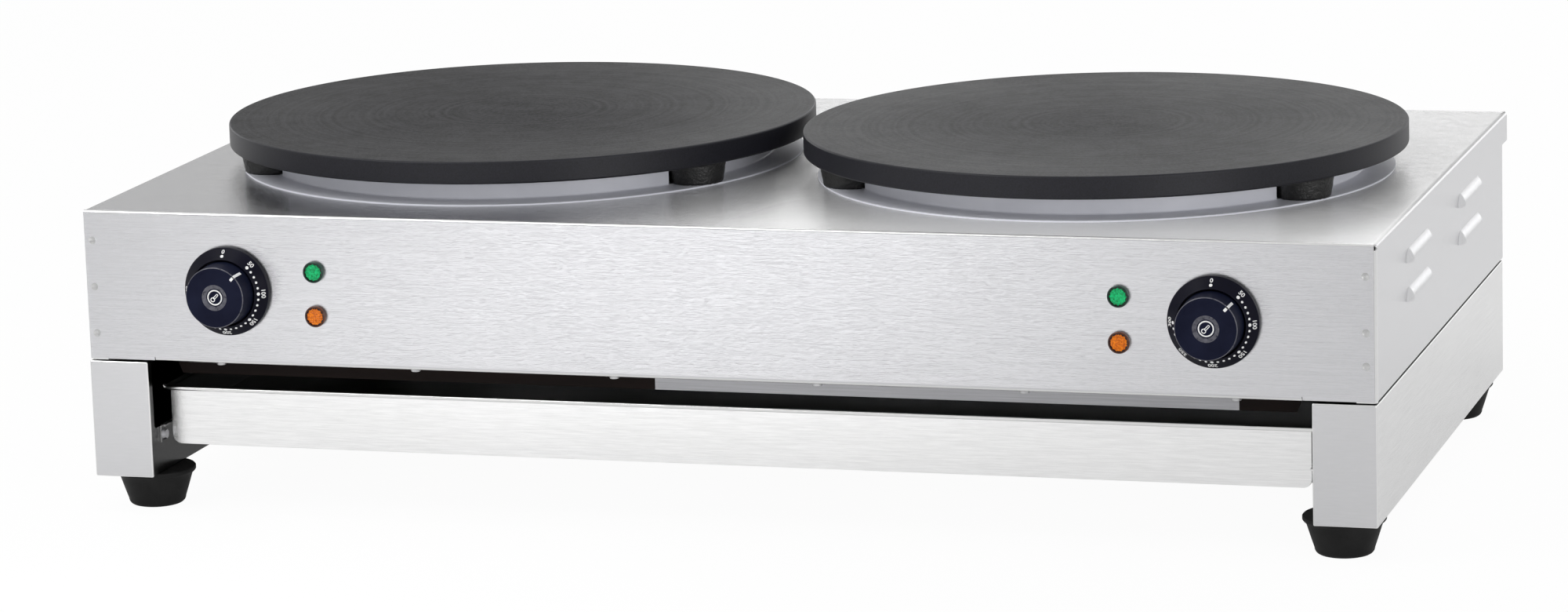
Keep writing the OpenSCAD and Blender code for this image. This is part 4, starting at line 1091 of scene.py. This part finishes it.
def glowing(name, deep, bright, glow):
    """The moulded face of a lens, which throws its colour back."""
    recipe = Recipe(name, Roughness=0.25, Specular_IOR_Level=0.25, Emission_Strength=glow)
    swirl = recipe.noise(900.0, 2.0)
    colour = recipe.mix(swirl.above(0.5, 0.4), deep, bright)
    recipe.set("Base Color", colour)
    recipe.set("Emission Color", colour)
    return recipe.material


def ring_plastic(name, deep, bright):
    """The coloured rim of a lamp, glossy and a little uneven."""
    recipe = Recipe(name, Roughness=0.1, Specular_IOR_Level=0.4)
    swirl = recipe.noise(400.0, 2.0)
    recipe.colour(swirl.above(0.5, 0.4), deep, bright)
    return recipe.material


def lamp(face_finish, lip_shade_finish, ring_finish, turn):
    """The lens round the Z axis, its foot at height 0, with its rows turned by an angle."""
    seat = turned("seat", [(5.5, -9), (5.5, -0.1), (6.6, 0), (7, 0.2), (7, 2.4)]
                  + arc((6.2, 2.4), 0.8, 15, 90, 5)
                  + [(5.8, 3.1), (5.6, 2.8), (5.5, 2.2), (1, 2.2)], 64)
    smooth(seat, 40)
    seat.data.materials.append(ring_finish)
    # Painted shade: the lip round the moulded face takes a darker copy of the lens plastic.
    refinish(seat, lip_shade_finish, lambda m, d: m.xy.length < 6.3 and m.z > 2)
    facets = start("facets", "grid", x_subdivisions=8, y_subdivisions=8, size=0.011,
                   location=mm(0, 0, 2.4), rotation=(0, 0, math.radians(turn)))
    edit(facets)
    choose("FACE")
    bpy.ops.mesh.poke(offset=0.0004)
    drop(lambda m, d: m.xy.length > 5.2)
    bpy.ops.mesh.select_all(action="SELECT")
    bpy.ops.mesh.region_to_loop()
    pull(0, 0, -0.1)
    bpy.ops.mesh.edge_face_add()
    face_out()
    done()
    facets.data.materials.append(face_finish)
    return join([seat, facets])


# The seat colours are darker copies of the ring colours, painted shade.
green = (glowing("green_face", (0.0, 0.10, 0.03, 1), (0.001, 0.38, 0.12, 1), 0.38),
         ring_plastic("green_lip_shade", (0.0, 0.004, 0.003, 1), (0.0, 0.009, 0.006, 1)),
         ring_plastic("green_ring", (0.0, 0.022, 0.012, 1), (0.0, 0.045, 0.026, 1)), 45)
amber = (glowing("amber_face", (0.30, 0.05, 0.0, 1), (0.60, 0.16, 0.0, 1), 0.35),
         ring_plastic("amber_lip_shade", (0.012, 0.003, 0.001, 1), (0.02, 0.005, 0.002, 1)),
         ring_plastic("amber_ring", (0.05, 0.012, 0.003, 1), (0.12, 0.028, 0.006, 1)), 0)
for tint, finish in (("green", green), ("amber", amber)):
    lamp_model = lamp(*finish)
    for side, name in both_sides:
        lens = on_panel(twin(lamp_model, f"{tint}_lamp_{name}"), side * lamp_x, lamp_zs[tint])
        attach(lens, "body")
        tint + "_lens"
        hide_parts(f"{tint}_lens_{name}")
    scrap(lamp_model)


# ---- Switchgear inside the housing ----
# Thermostats, lamp bodies, limit switches, terminal blocks and leads. They are moulded
# ceramic or plastic and sleeved wire, and none of them shows while the housing is closed.

def moulded(name, deep, light, roughness):
    """A moulded part's material, finely flecked."""
    recipe = Recipe(name)
    fleck = recipe.noise(500.0, 4.0)
    recipe.colour(fleck.above(0.5, 0.5), deep, light)
    recipe.set("Roughness", roughness - 0.1 + fleck * 0.2)
    recipe.bump(fleck, 0.05)
    return recipe.material


pale = moulded("pale_plastic", (0.55, 0.50, 0.40, 1), (0.72, 0.68, 0.58, 1), 0.55)
dark = moulded("dark_plastic", grey(0.022), grey(0.045), 0.5)
dress(pale, "thermostat_left", "thermostat_right", "lamp_bodies", "terminal_block_left",
      "terminal_block_right")
dress(dark, "limit_switch_left", "limit_switch_right", "gland_locknuts")
dress(moulded("wire_sleeve", (0.30, 0.03, 0.02, 1), (0.48, 0.06, 0.04, 1), 0.6),
      "wiring_left", "wiring_right")


# ---- Rear connections ----
# A black nylon gland for each half's supply cable, and between them a brass earth stud with
# its nut. Each gland has a hexagon against the panel and a ribbed cap that grips the cable.

gland_model = turned("gland", [(14.4, 0), (14.4, 5.2), (13.8, 6)], 6)
soften(gland_model, 0.5, 3)
cap = turned("cap", [(11.6, 5.8), (12, 6.3), (12, 19.4), (11.6, 20.2), (8.6, 24.6), (8, 25),
                     (5.6, 25), (5.2, 24.7), (5, 24.2), (5, -13)], 96)
edit(cap)
choose("FACE", lambda m, d: near(m.z, 12.85, 1) and m.xy.length > 11
       and round(math.degrees(math.atan2(m.y, m.x)) / 3.75) % 4 == 0)
bpy.ops.mesh.extrude_region_shrink_fatten(TRANSFORM_OT_shrink_fatten={"value": -0.0006})
done()
smooth(cap, 30)
tail = turned("tail", [(9.6, -14), (10, -13.6), (10, 0.1)], 64)
smooth(tail)
gland_model = join([gland_model, cap, tail])
for side, name in both_sides:
    gland = place(twin(gland_model, "gland_" + name), (side * gland_x, rear_y, gland_z),
                  (-90, 0, 0))
    fit(gland, "body", "dark_plastic", dark, "cable_gland_" + name)
scrap(gland_model)

brass = Recipe("brass", Metallic=1.0)
spots = brass.noise(180.0, 3.0)
brass.colour(spots.above(0.55, 0.4), (0.78, 0.56, 0.22, 1), (0.50, 0.33, 0.13, 1))
brass.set("Roughness", 0.2 + spots * 0.2)
dress(brass.material, "earth_terminal")


# ---- Fasteners ----
# Studs, nuts, bolts and pan head screws of zinc plated steel, and the thermostats' plated
# shafts. The screws of the runners are stainless steel, coloured dark like the cross rail's
# middle, painted shade.

zinc = Recipe("zinc", Metallic=1.0)
bloom = zinc.noise(300.0, 4.0)
zinc.colour(bloom.above(0.5, 0.5), grey(0.42, 0.02), grey(0.66, 0.01))
zinc.set("Roughness", 0.28 + bloom * 0.18)
dress(zinc.material, "plate_studs", "plate_nuts", "clamp_screws", "housing_screws",
      "rail_bolts", "foot_bolts", "thermostat_shaft_left", "thermostat_shaft_right")
# Painted shade: the runners' screws take the cross rail's darkened steel.
dress(cross_shade_steel, "runner_screws")


# ---- Floor and light ----
# A plain pale floor that shows the machine's shadow, a white surround, soft lamps on the
# left, the right, behind and above, and two soft spots over the front.

def surround(tree, straight, mirrored):
    """How white the surround is to rays that reach it straight, and mirrored or through
    glass."""
    path = tree.nodes.new("ShaderNodeLightPath")
    share = None
    for ray, weight in (("Is Camera Ray", straight), ("Is Glossy Ray", mirrored),
                        ("Is Transmission Ray", mirrored)):
        node = tree.nodes.new("ShaderNodeMath")
        node.operation = "MULTIPLY_ADD"
        node.inputs[1].default_value = weight
        node.inputs[2].default_value = 0.0
        tree.links.new(path.outputs[ray], node.inputs[0])
        if share:
            tree.links.new(share, node.inputs[2])
        share = node.outputs[0]
    return share


def whiten(tree, share, plain, white, output):
    """Blends a plain shader with a white one by a share."""
    blend = tree.nodes.new("ShaderNodeMixShader")
    for socket, out in zip(blend.inputs, (share, plain.outputs[0], white.outputs[0])):
        tree.links.new(out, socket)
    tree.links.new(blend.outputs[0], tree.nodes[output].inputs["Surface"])


ground = start("floor", "plane", size=24, location=(0, 4, 0))
paint = Recipe("floor_paint", Base_Color=grey(0.85), Roughness=1.0, Specular_IOR_Level=0.0)
whiten(paint.tree, surround(paint.tree, 0.96, 0.4), paint.shader,
       paint.tree.nodes.new("ShaderNodeEmission"), "Material Output")
ground.data.materials.append(paint.material)

world = bpy.data.worlds.new("surround")
bpy.context.scene.world = world
world.use_nodes = True
sky = world.node_tree.nodes["Background"]
sky.inputs["Color"].default_value = grey(0.62)
white_sky = world.node_tree.nodes.new("ShaderNodeBackground")
white_sky.inputs["Color"].default_value = grey(1.0)
whiten(world.node_tree, surround(world.node_tree, 1.0, 0.5), sky, white_sky, "World Output")


def hang(light, at):
    """Hangs a lamp in its place, in metres."""
    fitting = bpy.data.objects.new(light.name, light)
    bpy.context.collection.objects.link(fitting)
    fitting.location = at
    return fitting


for name, at, size, energy in (("key", (-1.4, -1.6, 2.2), (1.6, 1.6), 30),
                               ("fill", (2.6, -2.6, 0.6), (1.6, 1.2), 25),
                               ("rear", (-0.8, 4.6, 1.3), (1.6, 1.2), 8),
                               ("rear_right", (1.6, 4.6, 0.55), (1.1, 1.0), 3),
                               ("rear_left", (-4.2, 3.4, 1.0), (1.6, 1.4), 10),
                               ("above", (0.6, 1.9, 2.3), (1.4, 1.2), 12)):
    softbox = bpy.data.lights.new(name, "AREA")
    softbox.shape = "RECTANGLE"
    softbox.size, softbox.size_y = size
    softbox.energy = energy
    aim = Vector((0, 0, 0.15)) - Vector(at)
    hang(softbox, at).rotation_euler = aim.to_track_quat("-Z", "Y").to_euler()

for name, y, energy, cone in (("pool", -1.2, 740, 23), ("near_pool", -0.66, 110, 24)):
    spot = bpy.data.lights.new(name, "SPOT")
    spot.energy = energy
    spot.spot_size = math.radians(cone)
    spot.spot_blend = 1.0
    spot.shadow_soft_size = 0.2
    hang(spot, (-0.29, y, 2.5))

bpy.context.scene.view_settings.view_transform = "Standard"
